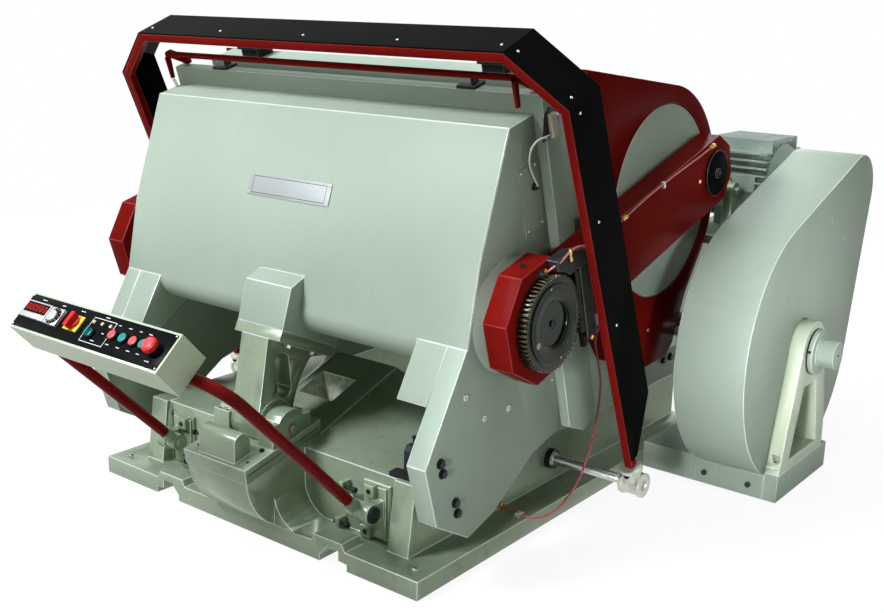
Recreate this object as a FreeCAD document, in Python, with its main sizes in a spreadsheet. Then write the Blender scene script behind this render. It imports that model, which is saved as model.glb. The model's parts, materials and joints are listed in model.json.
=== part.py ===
import FreeCAD
import Part
import math
import os
import re
import Sketcher

# Floor-standing platen die cutting machine.
# Millimetres. X to the operator's right, Y to the back, Z up.
# The origin is on the floor, in the middle of the base casting.

os.makedirs("parts", exist_ok=True)
doc = FreeCAD.newDocument("die_cutting_machine")
sheet = doc.addObject("Spreadsheet::Sheet", "Sizes")

DIMENSIONS = {
    "base_ledge": 98,
    "base_half_depth": 775,
    "rim_height": 53,
    "anchor_inset": 50,
    "anchor_radius": 9,
    "wall_front": -654,
    "wall_height": 242,
    "body_half_width": 527,
    "rail_thickness": 80,
    "rail_height": 200,
    "ridge_half_width": 118,
    "seat_half_width": 123,
    "seat_front": -872,
    "seat_low": 201,
    "seat_rise": 0.2309,
    "seat_thickness": 45,
    "curl_radius": 60,
    "curl_half_width": 500,
    "link_half_width": 88,
    "neck_radius": 260,
    "nose_radius": 185,
    "skirt_radius": 98,
    "stop_height": 130,
    "stop_radius": 29,
    "pivot_y": -702,
    "pivot_z": 312,
    "pivot_radius": 32,
    "pivot_half_length": 100,
    "hub_radius": 66,
    "cap_inner": 57,
    "running_clearance": 0.05,
    "lean": 16.6,
    "plate_front": 550,
    "plate_back": 628,
    "plate_top": 794,
    "bevel_depth": 44,
    "bevel_height": 40,
    "cut_sheet": 6,
    "die_height": 24,
    "die_half_width": 500,
    "bed_back": 759,
    "bed_half_width": 640,
    "casting_half_width": 657,
    "leg_thickness": 59,
    "cheek_thickness": 29,
    "cover_sheet": 4,
    "trunnion_y": -466.6,
    "trunnion_z": 686,
    "trunnion_radius": 60,
    "arm_clearance": 8,
    "arm_thickness": 70,
    "arm_half_height": 104,
    "crank_y": 279,
    "crank_z": 885,
    "crank_throw": 183.5,
    "crank_angle": 24.5,
    "crank_disc_radius": 284,
    "crank_shaft_radius": 60,
    "gear_radius": 300,
    "gear_gap": 73,
    "gear_width": 64,
    "opening_radius": 288,
    "gear_guard_radius": 340,
    "gear_guard_room": 20,
    "gear_guard_sheet": 5,
    "lay_y": 299,
    "lay_z": 503,
    "lay_radius": 35,
    "lay_gear_radius": 208,
    "drive_y": 570,
    "drive_z": 436,
    "drive_radius": 40,
    "flywheel_radius": 338,
    "cover_clearance": 51,
    "cover_width": 220,
    "cover_radius": 410,
    "cover_tip_radius": 120,
    "block_height": 84,
    "pedestal_sink": 21,
    "pedestal_width": 62,
    "motor_y": 956,
    "motor_z": 875,
    "motor_radius": 118,
    "pulley_radius": 72,
    "guard_y": -35,
    "guard_z": 129,
    "guard_lean": 22.5,
    "guard_clearance": 5,
    "guard_knee": 1172,
    "guard_top": 1307,
    "guard_top_half": 670,
    "guard_bar": 25,
    "guard_depth": 135,
    "guard_sheet": 4,
    "guard_shaft_radius": 14,
    "tee_half_length": 33,
    "tee_reach": 66,
    "panel_tilt": 42.1,
    "panel_half_length": 285,
    "panel_width": 108,
    "panel_thickness": 95,
    "bar_y": -712,
    "bar_z": 151,
    "bar_inset": 158,
    "bar_lean": 45,
    "bar_length": 636,
    "bar_pin_radius": 12,
    "tube_radius": 16,
    "bend_radius": 80,
    "wheel_radius": 124,
    "wheel_teeth": 60,
    "worm_radius": 11.5,
    "housing_thickness": 32,
}
# Positions across the machine, each built up from the sizes inside it.
DERIVED = {
    "base_half_width": "body_half_width + base_ledge",
    "rail_inner": "body_half_width - rail_thickness",
    "leg_inner": "casting_half_width - leg_thickness",
    "plate_half_width": "casting_half_width + cheek_thickness",
    "gear_inner": "body_half_width + gear_gap",
    "gear_outer": "gear_inner + gear_width",
    "gear_guard_outer": "gear_outer + gear_guard_room",
    "arm_inner": "max(gear_guard_outer; plate_half_width) + arm_clearance",
    "arm_outer": "arm_inner + arm_thickness",
    "guard_half_width": "arm_outer + housing_thickness + guard_clearance + guard_bar",
    "cover_inner": "arm_outer + cover_clearance",
    "cover_outer": "cover_inner + cover_width",
    "pedestal_inner": "cover_outer - pedestal_sink",
    "pedestal_outer": "pedestal_inner + pedestal_width",
    "flywheel_middle": "cover_inner + cover_width/2 - 9",
    "flywheel_half": "cover_width/2 - 50",
    "bar_leg": "body_half_width - bar_inset",
}

row = 1
for name in DIMENSIONS:
    sheet.set("A%d" % row, name)
    sheet.set("B%d" % row, str(DIMENSIONS[name]))
    sheet.setAlias("B%d" % row, name)
    row += 1
doc.recompute()

# The side of its run to which an arc bulges.
LEFT = 1
RIGHT = -1
WORD = re.compile(r"[a-z][a-z_]+")
NODES = []


def bind(value):
    def swap(match):
        word = match.group(0)
        if word in DERIVED:
            return "(" + bind(DERIVED[word]) + ")"
        return "Sizes." + word if word in DIMENSIONS else word
    return WORD.sub(swap, str(value))


def drive(item, target, value):
    item.setExpression(target, bind(value))


def number(item, value):
    result = item.evalExpression(bind(value))
    return float(getattr(result, "Value", result))


def place(item, x, y, z):
    drive(item, "Placement.Base.x", x)
    drive(item, "Placement.Base.y", y)
    drive(item, "Placement.Base.z", z)


def turn(item, axis, angle):
    item.Placement = FreeCAD.Placement(FreeCAD.Vector(), FreeCAD.Rotation(FreeCAD.Vector(*axis), angle))


def node(item, label):
    item.Label = label
    NODES.append(item)
    return item


# Leaning frames: origin in Y and Z, and the angle about X.
PRESS = ("pivot_y", "pivot_z", "lean")
GUARD = ("guard_y", "guard_z", "guard_lean")
BAR = ("bar_y", "bar_z", "bar_lean")
PANEL = (
    "(bar_y - bar_length*sin(bar_lean*1deg) - 54.5*cos(panel_tilt*1deg)"
    " - (panel_thickness + tube_radius)*sin(panel_tilt*1deg))",
    "(bar_z + bar_length*cos(bar_lean*1deg) - 54.5*sin(panel_tilt*1deg)"
    " + (panel_thickness + tube_radius)*cos(panel_tilt*1deg))",
    "panel_tilt",
)
PIN_Y = "(crank_y + crank_throw*cos(crank_angle*1deg))"
PIN_Z = "(crank_z + crank_throw*sin(crank_angle*1deg))"
ARM_LENGTH = "sqrt((%s - trunnion_y)^2 + (%s - trunnion_z)^2)" % (PIN_Y, PIN_Z)
ARM = (
    "trunnion_y",
    "trunnion_z",
    "(atan2(%s - trunnion_z; %s - trunnion_y)/1deg)" % (PIN_Z, PIN_Y),
)


def leaning(frame, along, up):
    y, z, angle = frame
    first = "%s + (%s)*cos(%s*1deg) - (%s)*sin(%s*1deg)" % (y, along, angle, up, angle)
    second = "%s + (%s)*sin(%s*1deg) + (%s)*cos(%s*1deg)" % (z, along, angle, up, angle)
    return first, second


def box(name, x, y, z):
    item = doc.addObject("Part::Box", name)
    drive(item, "Length", "(%s) - (%s)" % (x[1], x[0]))
    drive(item, "Width", "(%s) - (%s)" % (y[1], y[0]))
    drive(item, "Height", "(%s) - (%s)" % (z[1], z[0]))
    place(item, x[0], y[0], z[0])
    return item


def leaning_box(name, frame, x, along, up):
    item = doc.addObject("Part::Box", name)
    drive(item, "Length", "(%s) - (%s)" % (x[1], x[0]))
    drive(item, "Width", "(%s) - (%s)" % (along[1], along[0]))
    drive(item, "Height", "(%s) - (%s)" % (up[1], up[0]))
    turn(item, (1, 0, 0), number(item, frame[2]))
    drive(item, "Placement.Rotation.Angle", "%s * 1deg" % frame[2])
    y, z = leaning(frame, along[0], up[0])
    place(item, x[0], y, z)
    return item


def shaft(name, y, z, radius, x):
    item = doc.addObject("Part::Cylinder", name)
    drive(item, "Radius", radius)
    drive(item, "Height", "(%s) - (%s)" % (x[1], x[0]))
    turn(item, (0, 1, 0), 90)
    place(item, x[0], y, z)
    return item


def post(name, x, y, radius, z):
    item = doc.addObject("Part::Cylinder", name)
    drive(item, "Radius", radius)
    drive(item, "Height", "(%s) - (%s)" % (z[1], z[0]))
    place(item, x, y, z[0])
    return item


def peg(name, x, z, radius, y):
    item = doc.addObject("Part::Cylinder", name)
    drive(item, "Radius", radius)
    drive(item, "Height", "(%s) - (%s)" % (y[1], y[0]))
    turn(item, (1, 0, 0), 90)
    place(item, x, y[1], z)
    return item


def cone_shaft(name, y, z, radius_from, radius_to, x):
    item = doc.addObject("Part::Cone", name)
    drive(item, "Radius1", radius_from)
    drive(item, "Radius2", radius_to)
    drive(item, "Height", "(%s) - (%s)" % (x[1], x[0]))
    turn(item, (0, 1, 0), 90)
    place(item, x[0], y, z)
    return item


def knob(name, frame, x, along, radius, up):
    item = doc.addObject("Part::Cylinder", name)
    drive(item, "Radius", radius)
    drive(item, "Height", "(%s) - (%s)" % (up[1], up[0]))
    turn(item, (1, 0, 0), number(item, frame[2]))
    drive(item, "Placement.Rotation.Angle", "%s * 1deg" % frame[2])
    y, z = leaning(frame, along, up[0])
    place(item, x, y, z)
    return item


# A round stretch of an outline: from one point to the next, bulging to the left or to the right.
def arc_between(start, end, radius, side):
    chord = end - start
    left = FreeCAD.Vector(-chord.y, chord.x, 0).normalize()
    rise = math.sqrt(radius * radius - chord.Length * chord.Length / 4)
    centre = (start + end) * 0.5 - left * (rise * side)
    crown = centre + left * (radius * side)
    return Part.Arc(start, crown, end)


# A sketch through the points. A point with a third and fourth value ends an arc of that radius and side.
def draw(item, points):
    spots = [FreeCAD.Vector(number(item, point[0]), number(item, point[1]), 0) for point in points]
    count = len(points)
    first_ends = []
    second_ends = []
    for i in range(count):
        start = spots[i]
        end = spots[(i + 1) % count]
        bulge = points[(i + 1) % count][2:]
        clockwise = bool(bulge) and bulge[1] > 0
        if bulge:
            item.addGeometry(arc_between(start, end, number(item, bulge[0]), bulge[1]), False)
        else:
            item.addGeometry(Part.LineSegment(start, end), False)
        first_ends.append(2 if clockwise else 1)
        second_ends.append(1 if clockwise else 2)
    for i in range(count):
        after = (i + 1) % count
        item.addConstraint(Sketcher.Constraint("Coincident", i, second_ends[i], after, first_ends[after]))
    for i in range(count):
        for kind, value, size in (
            ("DistanceX", points[i][0], spots[i].x),
            ("DistanceY", points[i][1], spots[i].y),
        ):
            rule = item.addConstraint(Sketcher.Constraint(kind, -1, 1, i, first_ends[i], size))
            drive(item, "Constraints[%d]" % rule, value)
        bulge = points[(i + 1) % count][2:]
        if bulge:
            rule = item.addConstraint(Sketcher.Constraint("Radius", i, number(item, bulge[0])))
            drive(item, "Constraints[%d]" % rule, bulge[0])
    return item


def outline(name, points):
    return draw(doc.addObject("Sketcher::SketchObject", name), points)


def extrude(name, sketch, forward, back="0"):
    item = doc.addObject("Part::Extrusion", name)
    item.Base = sketch
    item.DirMode = "Normal"
    item.Solid = True
    drive(item, "LengthFwd", forward)
    drive(item, "LengthRev", back)
    return item


def side_prism(name, points, x):
    sketch = outline(name + "_outline", points)
    turn(sketch, (1, 1, 1), 120)
    drive(sketch, "Placement.Base.x", x[0])
    return extrude(name, sketch, "(%s) - (%s)" % (x[1], x[0]))


def front_prism(name, points, y):
    sketch = outline(name + "_outline", points)
    turn(sketch, (1, 0, 0), 90)
    drive(sketch, "Placement.Base.y", y[1])
    return extrude(name, sketch, "(%s) - (%s)" % (y[1], y[0]))


def guard_prism(name, points, near, far):
    sketch = outline(name + "_outline", points)
    turn(sketch, (1, 0, 0), 90 + DIMENSIONS["guard_lean"])
    drive(sketch, "Placement.Rotation.Angle", "(90 + guard_lean) * 1deg")
    place(sketch, 0, "guard_y", "guard_z")
    return extrude(name, sketch, near, far)


def join(name, items):
    item = doc.addObject("Part::MultiFuse", name)
    item.Shapes = items
    item.Refine = True
    return item


def cut(name, base, tools):
    tool = tools[0]
    if len(tools) > 1:
        tool = join(name + "_tools", tools)
    item = doc.addObject("Part::Cut", name)
    item.Base = base
    item.Tool = tool
    item.Refine = True
    return item


def group(name, items):
    item = doc.addObject("Part::Compound", name)
    item.Links = items
    return item


def span(side, low, high):
    if side > 0:
        return (low, high)
    return ("-(%s)" % high, "-(%s)" % low)


def hull(y_one, z_one, radius_one, y_two, z_two, radius_two):
    rise = "(%s) - (%s)" % (z_two, z_one)
    run = "(%s) - (%s)" % (y_two, y_one)
    size = "sqrt((%s)^2 + (%s)^2)" % (rise, run)
    heading = "atan2(%s; %s)" % (rise, run)
    spread = "acos(((%s) - (%s)) / %s)" % (radius_one, radius_two, size)
    points = []
    for y, z, radius, sign in (
        (y_one, z_one, radius_one, "+"),
        (y_two, z_two, radius_two, "+"),
        (y_two, z_two, radius_two, "-"),
        (y_one, z_one, radius_one, "-"),
    ):
        turn_text = "(%s %s %s)" % (heading, sign, spread)
        points.append((
            "(%s) + (%s)*cos(%s)" % (y, radius, turn_text),
            "(%s) + (%s)*sin(%s)" % (z, radius, turn_text),
        ))
    return points


def teardrop(name, y_one, z_one, radius_one, y_two, z_two, radius_two, x):
    web = side_prism(name + "_web", hull(y_one, z_one, radius_one, y_two, z_two, radius_two), x)
    big = shaft(name + "_big", y_one, z_one, radius_one, x)
    small = shaft(name + "_small", y_two, z_two, radius_two, x)
    return join(name, [web, big, small])


def seat_line(y, lift="0"):
    return "seat_low + ((%s) - seat_front)*seat_rise + (%s)" % (y, lift)


# Base casting with front nose, ridged deck, side rails and jacking notches.
def base_casting():
    solids = [box(
        "rim",
        ("-base_half_width", "base_half_width"),
        ("-base_half_depth", "base_half_depth"),
        ("0", "rim_height"),
    )]
    tools = []
    for side, word in ((1, "right"), (-1, "left")):
        solids.append(front_prism(
            "hump_" + word,
            [
                ("%d*256" % side, "rim_height - 5"),
                ("%d*268" % side, "rim_height + 20"),
                ("%d*368" % side, "rim_height + 20"),
                ("%d*384" % side, "rim_height - 5"),
            ],
            ("-base_half_depth", "-base_half_depth + 70"),
        ))
        tools.append(front_prism(
            "notch_" + word,
            [
                ("%d*288" % side, "-1"),
                ("%d*288" % side, "20"),
                ("%d*318" % side, "49"),
                ("%d*356" % side, "49"),
                ("%d*356" % side, "22"),
                ("%d*386" % side, "20"),
                ("%d*386" % side, "-1"),
            ],
            ("-base_half_depth - 1", "-base_half_depth + 80"),
        ))
        solids.append(box(
            "rail_" + word,
            span(side, "rail_inner", "body_half_width"),
            ("wall_front", "base_half_depth - 15"),
            ("rim_height - 1", "rail_height"),
        ))
        solids.append(side_prism(
            "corner_post_" + word,
            [
                ("wall_front - 41", "rim_height - 1"),
                ("wall_front - 14", "wall_height + 3"),
                ("wall_front + 30", "wall_height + 3"),
                ("wall_front + 30", "rim_height - 1"),
            ],
            span(side, "body_half_width - 70", "body_half_width"),
        ))
        flank_front = outline("flank_front_" + word, [
            ("%d*(ridge_half_width - 2)" % side, "rim_height - 1"),
            ("%d*(ridge_half_width - 2)" % side, "wall_height"),
            ("%d*(body_half_width - 0.5)" % side, "wall_height"),
            ("%d*(body_half_width - 0.5)" % side, "rim_height - 1"),
        ])
        flank_back = outline("flank_back_" + word, [
            ("%d*(ridge_half_width - 2)" % side, "rim_height - 1"),
            ("%d*(ridge_half_width - 2)" % side, "wall_height + 138"),
            ("%d*(body_half_width - 0.5)" % side, "wall_height"),
            ("%d*(body_half_width - 0.5)" % side, "rim_height - 1"),
        ])
        for sketch, y in ((flank_front, "wall_front"), (flank_back, "wall_front + 394")):
            turn(sketch, (1, 0, 0), 90)
            drive(sketch, "Placement.Base.y", y)
        flank = doc.addObject("Part::Loft", "flank_" + word)
        flank.Sections = [flank_front, flank_back]
        flank.Solid = True
        flank.Ruled = True
        solids.append(flank)
        solids.append(front_prism(
            "skirt_" + word,
            [
                ("%d*(ridge_half_width - 2)" % side, "rim_height - 2"),
                ("%d*(ridge_half_width - 2)" % side, "rim_height + skirt_radius"),
                (
                    "%d*(ridge_half_width + skirt_radius)" % side, "rim_height - 2",
                    "skirt_radius + 2", RIGHT if side > 0 else LEFT,
                ),
            ],
            ("-base_half_depth + 1", "wall_front + 1"),
        ))
        for end in (1, -1):
            tools.append(post(
                "anchor_hole_%s_%d" % (word, end + 1),
                "%d*(base_half_width - anchor_inset)" % side,
                "%d*(base_half_depth - anchor_inset)" % end,
                "anchor_radius",
                ("-1", "rim_height + 1"),
            ))
    solids.append(side_prism(
        "nose",
        [
            ("wall_front + 20", "rim_height - 1"),
            ("-base_half_depth", "rim_height - 1"),
            ("seat_front", "seat_low", "nose_radius", LEFT),
            ("wall_front + 20", seat_line("wall_front + 20")),
        ],
        ("-ridge_half_width", "ridge_half_width"),
    ))
    solids.append(side_prism(
        "deck",
        [
            ("wall_front", "rim_height - 1"),
            ("wall_front", "wall_height"),
            ("wall_front + 394", "wall_height + 138"),
            ("wall_front + 394", "rim_height - 1"),
        ],
        ("-ridge_half_width", "ridge_half_width"),
    ))
    tools.append(box(
        "deck_pocket",
        ("-96", "40"),
        ("wall_front + 190", "wall_front + 295"),
        ("190", "420"),
    ))
    whole = join("base_solid", solids)
    node(cut("base_casting_body", whole, tools), "base_casting")


# Saddle plate, stop block and pivot caps on the nose.
def saddle():
    seat = side_prism(
        "saddle_body",
        [
            ("seat_front - 3", seat_line("seat_front - 3")),
            ("seat_front - 10", seat_line("seat_front - 10", "seat_thickness")),
            ("wall_front + 58", seat_line("wall_front + 58", "seat_thickness")),
            ("wall_front + 58", seat_line("wall_front + 58")),
        ],
        ("-seat_half_width", "seat_half_width"),
    )
    shoulder = "seat_low + stop_height - stop_radius"
    stop_back = "seat_front + 2*stop_radius"
    stop = side_prism(
        "stop_body",
        [
            ("seat_front + 2", seat_line("seat_front + 2", "seat_thickness")),
            ("seat_front + 3", shoulder),
            (stop_back + " + 1", shoulder, "stop_radius", LEFT),
            (stop_back + " + 5", seat_line(stop_back + " + 5", "seat_thickness")),
        ],
        ("-71", "71"),
    )
    recess = shaft("hub_recess", "pivot_y", "pivot_z", "hub_radius + 2", ("-cap_inner", "cap_inner"))
    groove = shaft(
        "shaft_groove", "pivot_y", "pivot_z", "pivot_radius + running_clearance",
        ("-pivot_half_length - 1", "pivot_half_length + 1"),
    )
    node(cut("saddle_cut", join("saddle_joined", [seat, stop]), [recess, groove]), "saddle_plate")
    caps = []
    for side, word in ((1, "right"), (-1, "left")):
        x = span(side, "cap_inner", "ridge_half_width")
        lower = side_prism(
            "cap_lower_" + word,
            [
                ("pivot_y - 72", seat_line("pivot_y - 72", "seat_thickness")),
                ("pivot_y - 72", "pivot_z + 25"),
                ("pivot_y + 72", "pivot_z + 31"),
                ("pivot_y + 72", seat_line("pivot_y + 72", "seat_thickness")),
            ],
            x,
        )
        arch = shaft("cap_arch_" + word, "pivot_y", "pivot_z", "pivot_radius + 22", x)
        bore = shaft(
            "cap_bore_" + word, "pivot_y", "pivot_z", "pivot_radius + running_clearance",
            span(side, "cap_inner - 1", "pivot_half_length + 1"),
        )
        below = side_prism(
            "cap_below_" + word,
            [
                ("pivot_y - 90", seat_line("pivot_y - 90", "seat_thickness")),
                ("pivot_y - 90", "150"),
                ("pivot_y + 90", "150"),
                ("pivot_y + 90", seat_line("pivot_y + 90", "seat_thickness")),
            ],
            span(side, "cap_inner - 7", "ridge_half_width + 5"),
        )
        tools = [bore, below]
        for index, (dx, dy) in enumerate(((14, -60), (42, -60), (14, 60), (42, 60))):
            tools.append(post(
                "cap_hole_%s_%d" % (word, index),
                "%d*(cap_inner + %d)" % (side, dx),
                "pivot_y + %d" % dy,
                "6.5",
                ("pivot_z + 6", "pivot_z + 40"),
            ))
        body = cut("cap_body_" + word, join("cap_solid_" + word, [lower, arch]), tools)
        caps.append(body)
    node(group("caps_body", caps), "pivot_caps")


# Bed with ribs, die chase, die board, and the locks on the bed.
def bed():
    back = "plate_back + cut_sheet + 1 + die_height"
    slab = leaning_box(
        "bed_slab", PRESS,
        ("-bed_half_width", "bed_half_width"), (back, "bed_back"), ("plate_top - 769", "plate_top - 6"),
    )
    ribs = [slab]
    for index, x in enumerate((-330, -110, 110, 330)):
        ribs.append(leaning_box(
            "bed_rib_%d" % index, PRESS,
            ("%d - 14" % x, "%d + 14" % x),
            ("bed_back - 1", "bed_back + 42"),
            ("plate_top - 650", "plate_top - 40"),
        ))
    node(join("bed_body", ribs), "bed")
    front = "plate_back + cut_sheet + 1"
    board_width = ("-die_half_width", "die_half_width")
    board_height = ("plate_top - 631", "plate_top - 91")
    outer = leaning_box(
        "chase_outer", PRESS,
        ("-die_half_width - 60", "die_half_width + 60"),
        (front, back),
        ("plate_top - 691", "plate_top - 31"),
    )
    inner = leaning_box("chase_inner", PRESS, board_width, ("plate_back", "bed_back"), board_height)
    node(cut("chase_body", outer, [inner]), "die_chase")
    board = leaning_box("board_body", PRESS, board_width, ("%s + 6" % front, back), board_height)
    node(board, "die_board")
    locks = []
    for index, x in enumerate((-478, 450)):
        foot = leaning_box(
            "lock_foot_%d" % index, PRESS,
            ("%d - 36" % x, "%d + 36" % x),
            ("bed_back - 78", "bed_back - 12"),
            ("plate_top - 6", "plate_top + 26"),
        )
        head = leaning_box(
            "lock_head_%d" % index, PRESS,
            ("%d - 44" % x, "%d + 44" % x),
            ("bed_back - 86", "bed_back - 4"),
            ("plate_top + 22", "plate_top + 40"),
        )
        locks.append(join("lock_%d" % index, [foot, head]))
    node(group("locks_body", locks), "chase_locks")


# Side frames with the shaft bores, tied by two cross bars.
def main_frame():
    front = [leaning(PRESS, "bed_back", "plate_top - 30"), leaning(PRESS, "bed_back", "plate_top - 769")]
    pieces = []
    for side, word in ((1, "right"), (-1, "left")):
        wall = side_prism(
            "side_wall_" + word,
            [
                front[0],
                front[1],
                ("-40", "rail_height"),
                ("base_half_depth - 15", "rail_height"),
                ("base_half_depth - 15", "900"),
                ("520", "1110"),
                ("320", "1190"),
            ],
            span(side, "rail_inner", "body_half_width"),
        )
        pieces.append(wall)
    inside = ("-rail_inner - 1", "rail_inner + 1")
    pieces.append(box("tie_low", inside, ("640", "740"), ("rail_height + 20", "rail_height + 120")))
    pieces.append(box("tie_high", inside, ("600", "700"), ("820", "920")))
    reach = ("-body_half_width - 5", "body_half_width + 5")
    tools = [
        shaft("crank_bore", "crank_y", "crank_z", "crank_shaft_radius + running_clearance", reach),
        shaft("lay_bore", "lay_y", "lay_z", "lay_radius + running_clearance", reach),
        shaft("drive_bore", "drive_y", "drive_z", "drive_radius + running_clearance", reach),
    ]
    node(cut("frame_body", join("frame_solid", pieces), tools), "side_frames")


# Sheet guards over the two crank gears.
def gear_guards():
    for side, word in ((1, "right"), (-1, "left")):
        shells = []
        for index, (inset, low, high) in enumerate((
            ("0", "body_half_width", "gear_guard_outer"),
            ("gear_guard_sheet", "body_half_width - 1", "gear_guard_outer - gear_guard_sheet"),
        )):
            x = span(side, low, high)
            plate = side_prism(
                "gear_guard_%s_%d" % (word, index),
                [
                    leaning(PRESS, "bed_back + 6 + %s" % inset, "plate_top - 8 - %s" % inset),
                    ("crank_y + 39", "crank_z + gear_guard_radius - 2.5 - %s" % inset),
                    ("crank_y + 100", "crank_z"),
                    (
                        "crank_y + gear_guard_radius*0.866 - %s" % inset,
                        "crank_z - gear_guard_radius*0.5 + %s*0.5" % inset,
                    ),
                    ("crank_y + 190 - %s" % inset, "crank_z - 315"),
                    ("crank_y + 125 - %s" % inset, "crank_z - 465"),
                    ("crank_y + 88 - %s" % inset, "crank_z - 498 + %s" % inset),
                    ("crank_y - 66 + %s" % inset, "crank_z - 505 + %s" % inset),
                    leaning(PRESS, "bed_back + 6 + %s" % inset, "plate_top - 674"),
                ],
                x,
            )
            ring = shaft(
                "gear_ring_%s_%d" % (word, index), "crank_y", "crank_z", "gear_guard_radius - %s" % inset, x,
            )
            ahead = leaning_box(
                "gear_ahead_%s_%d" % (word, index), PRESS,
                span(side, "body_half_width - 9", "gear_guard_outer + 9"),
                ("bed_back - 90", "bed_back + 6 + %s" % inset), ("-300", "plate_top + 90"),
            )
            whole = join("gear_whole_%s_%d" % (word, index), [plate, ring])
            shells.append(cut("gear_shell_%s_%d" % (word, index), whole, [ahead]))
        window = shaft(
            "gear_window_" + word, "crank_y", "crank_z", "opening_radius",
            span(side, "body_half_width", "gear_guard_outer + 5"),
        )
        drive_gap = shaft(
            "gear_gap_" + word, "drive_y", "drive_z", "drive_radius + 12",
            span(side, "body_half_width - 5", "gear_guard_outer + 5"),
        )
        node(cut("gear_guard_body_" + word, shells[0], [shells[1], window, drive_gap]), "gear_guard_" + word)


# Crank shaft with gears, discs and pins, and the lay and drive shafts that turn it.
def crank():
    node(shaft(
        "crank_shaft_body", "crank_y", "crank_z", "crank_shaft_radius", ("-gear_inner", "gear_inner"),
    ), "crank_shaft")
    for side, word in ((1, "right"), (-1, "left")):
        rim = shaft(
            "gear_rim_" + word, "crank_y", "crank_z", "gear_radius", span(side, "gear_inner", "gear_outer"),
        )
        relief = shaft(
            "gear_relief_" + word, "crank_y", "crank_z", "gear_radius - 40",
            span(side, "gear_inner - 1", "gear_inner + 24"),
        )
        hub = shaft(
            "gear_hub_" + word, "crank_y", "crank_z", "crank_shaft_radius + 40",
            span(side, "gear_inner", "gear_inner + 30"),
        )
        disc = shaft(
            "disc_" + word, "crank_y", "crank_z", "crank_disc_radius",
            span(side, "gear_outer - 1", "gear_guard_outer - 2"),
        )
        pin = shaft("pin_" + word, PIN_Y, PIN_Z, "48", span(side, "gear_guard_outer - 3", "arm_inner - 3"))
        blank = cut("gear_blank_" + word, rim, [relief])
        node(join("gear_body_" + word, [blank, hub, disc, pin]), "crank_gear_" + word)
    mesh = ("rail_inner - 117", "rail_inner - 62")
    pieces = [shaft("lay_rod", "lay_y", "lay_z", "lay_radius", ("-gear_outer", "gear_outer"))]
    for side, word in ((1, "right"), (-1, "left")):
        pieces.append(shaft(
            "pinion_" + word, "lay_y", "lay_z",
            "sqrt((lay_y - crank_y)^2 + (lay_z - crank_z)^2) - gear_radius - 1",
            span(side, "gear_inner", "gear_outer"),
        ))
    pieces.append(shaft("lay_wheel", "lay_y", "lay_z", "lay_gear_radius", mesh))
    node(join("lay_body", pieces), "lay_shaft")
    rod = shaft(
        "drive_rod", "drive_y", "drive_z", "drive_radius", ("rail_inner - 147", "pedestal_outer + 8"),
    )
    pinion = shaft(
        "drive_pinion", "drive_y", "drive_z",
        "sqrt((lay_y - drive_y)^2 + (lay_z - drive_z)^2) - lay_gear_radius - 1", mesh,
    )
    node(join("drive_body", [rod, pinion]), "drive_shaft")


# Base block beside the machine, with its front plate and the bolts on it.
def flywheel_base():
    block = box(
        "block_body",
        ("base_half_width", "pedestal_outer"),
        ("376", "base_half_depth - 3"),
        ("0", "block_height"),
    )
    plate = box("block_plate", ("cover_inner", "cover_outer"), ("366", "377"), ("5", "block_height - 2"))
    node(join("block_joined", [block, plate]), "flywheel_base")
    bolts = []
    for index, x in enumerate(("cover_inner + 31", "cover_outer - 45")):
        bolts.append(peg("block_bolt_%d" % index, x, "42", "9", ("358", "366")))
    for index, y in enumerate(("drive_y - 164", "drive_y + 139")):
        bolts.append(post(
            "foot_bolt_%d" % index, "pedestal_outer - 19", y, "11",
            ("block_height + 20", "block_height + 33"),
        ))
    node(group("block_bolts_body", bolts), "block_bolts")


# Outboard pedestal with its bearing and rotary union.
def pedestal():
    x = ("pedestal_inner", "pedestal_outer")
    legs = side_prism(
        "pedestal_legs",
        [
            ("drive_y - 190", "block_height"),
            ("drive_y - 86", "drive_z + 20"),
            ("drive_y + 86", "drive_z + 20"),
            ("drive_y + 150", "block_height + 126"),
            ("drive_y + 160", "block_height"),
        ],
        x,
    )
    head = shaft("pedestal_head", "drive_y", "drive_z", "92", x)
    window = side_prism(
        "pedestal_window",
        [
            ("drive_y - 118", "block_height + 34"),
            ("drive_y - 48", "drive_z - 104"),
            ("drive_y + 48", "drive_z - 104"),
            ("drive_y + 96", "block_height + 34"),
        ],
        ("pedestal_inner - 5", "pedestal_outer + 5"),
    )
    bore = shaft(
        "pedestal_bore", "drive_y", "drive_z", "drive_radius + running_clearance",
        ("pedestal_inner - 5", "pedestal_outer + 5"),
    )
    feet = []
    for index, y in enumerate((("drive_y - 188", "drive_y - 140"), ("drive_y + 120", "drive_y + 158"))):
        feet.append(box("pedestal_foot_%d" % index, x, y, ("block_height", "block_height + 20")))
    faces = []
    for index, y in enumerate(("drive_y - 164", "drive_y + 139")):
        faces.append(post(
            "spot_face_%d" % index, "pedestal_outer - 19", y, "15",
            ("block_height + 20", "block_height + 60"),
        ))
    body = cut("pedestal_body", join("pedestal_solid", [legs, head] + feet), [window, bore] + faces)
    node(body, "outboard_pedestal")
    ring = shaft("bearing_ring", "drive_y", "drive_z", "70", ("pedestal_outer", "pedestal_outer + 20"))
    ring_bore = shaft(
        "bearing_bore", "drive_y", "drive_z", "drive_radius + 0.5",
        ("pedestal_outer - 1", "pedestal_outer + 10"),
    )
    union = shaft("union_barrel", "drive_y", "drive_z", "42", ("pedestal_outer + 19", "pedestal_outer + 74"))
    node(join("union_body", [cut("bearing_body", ring, [ring_bore]), union]), "rotary_union")


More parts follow.
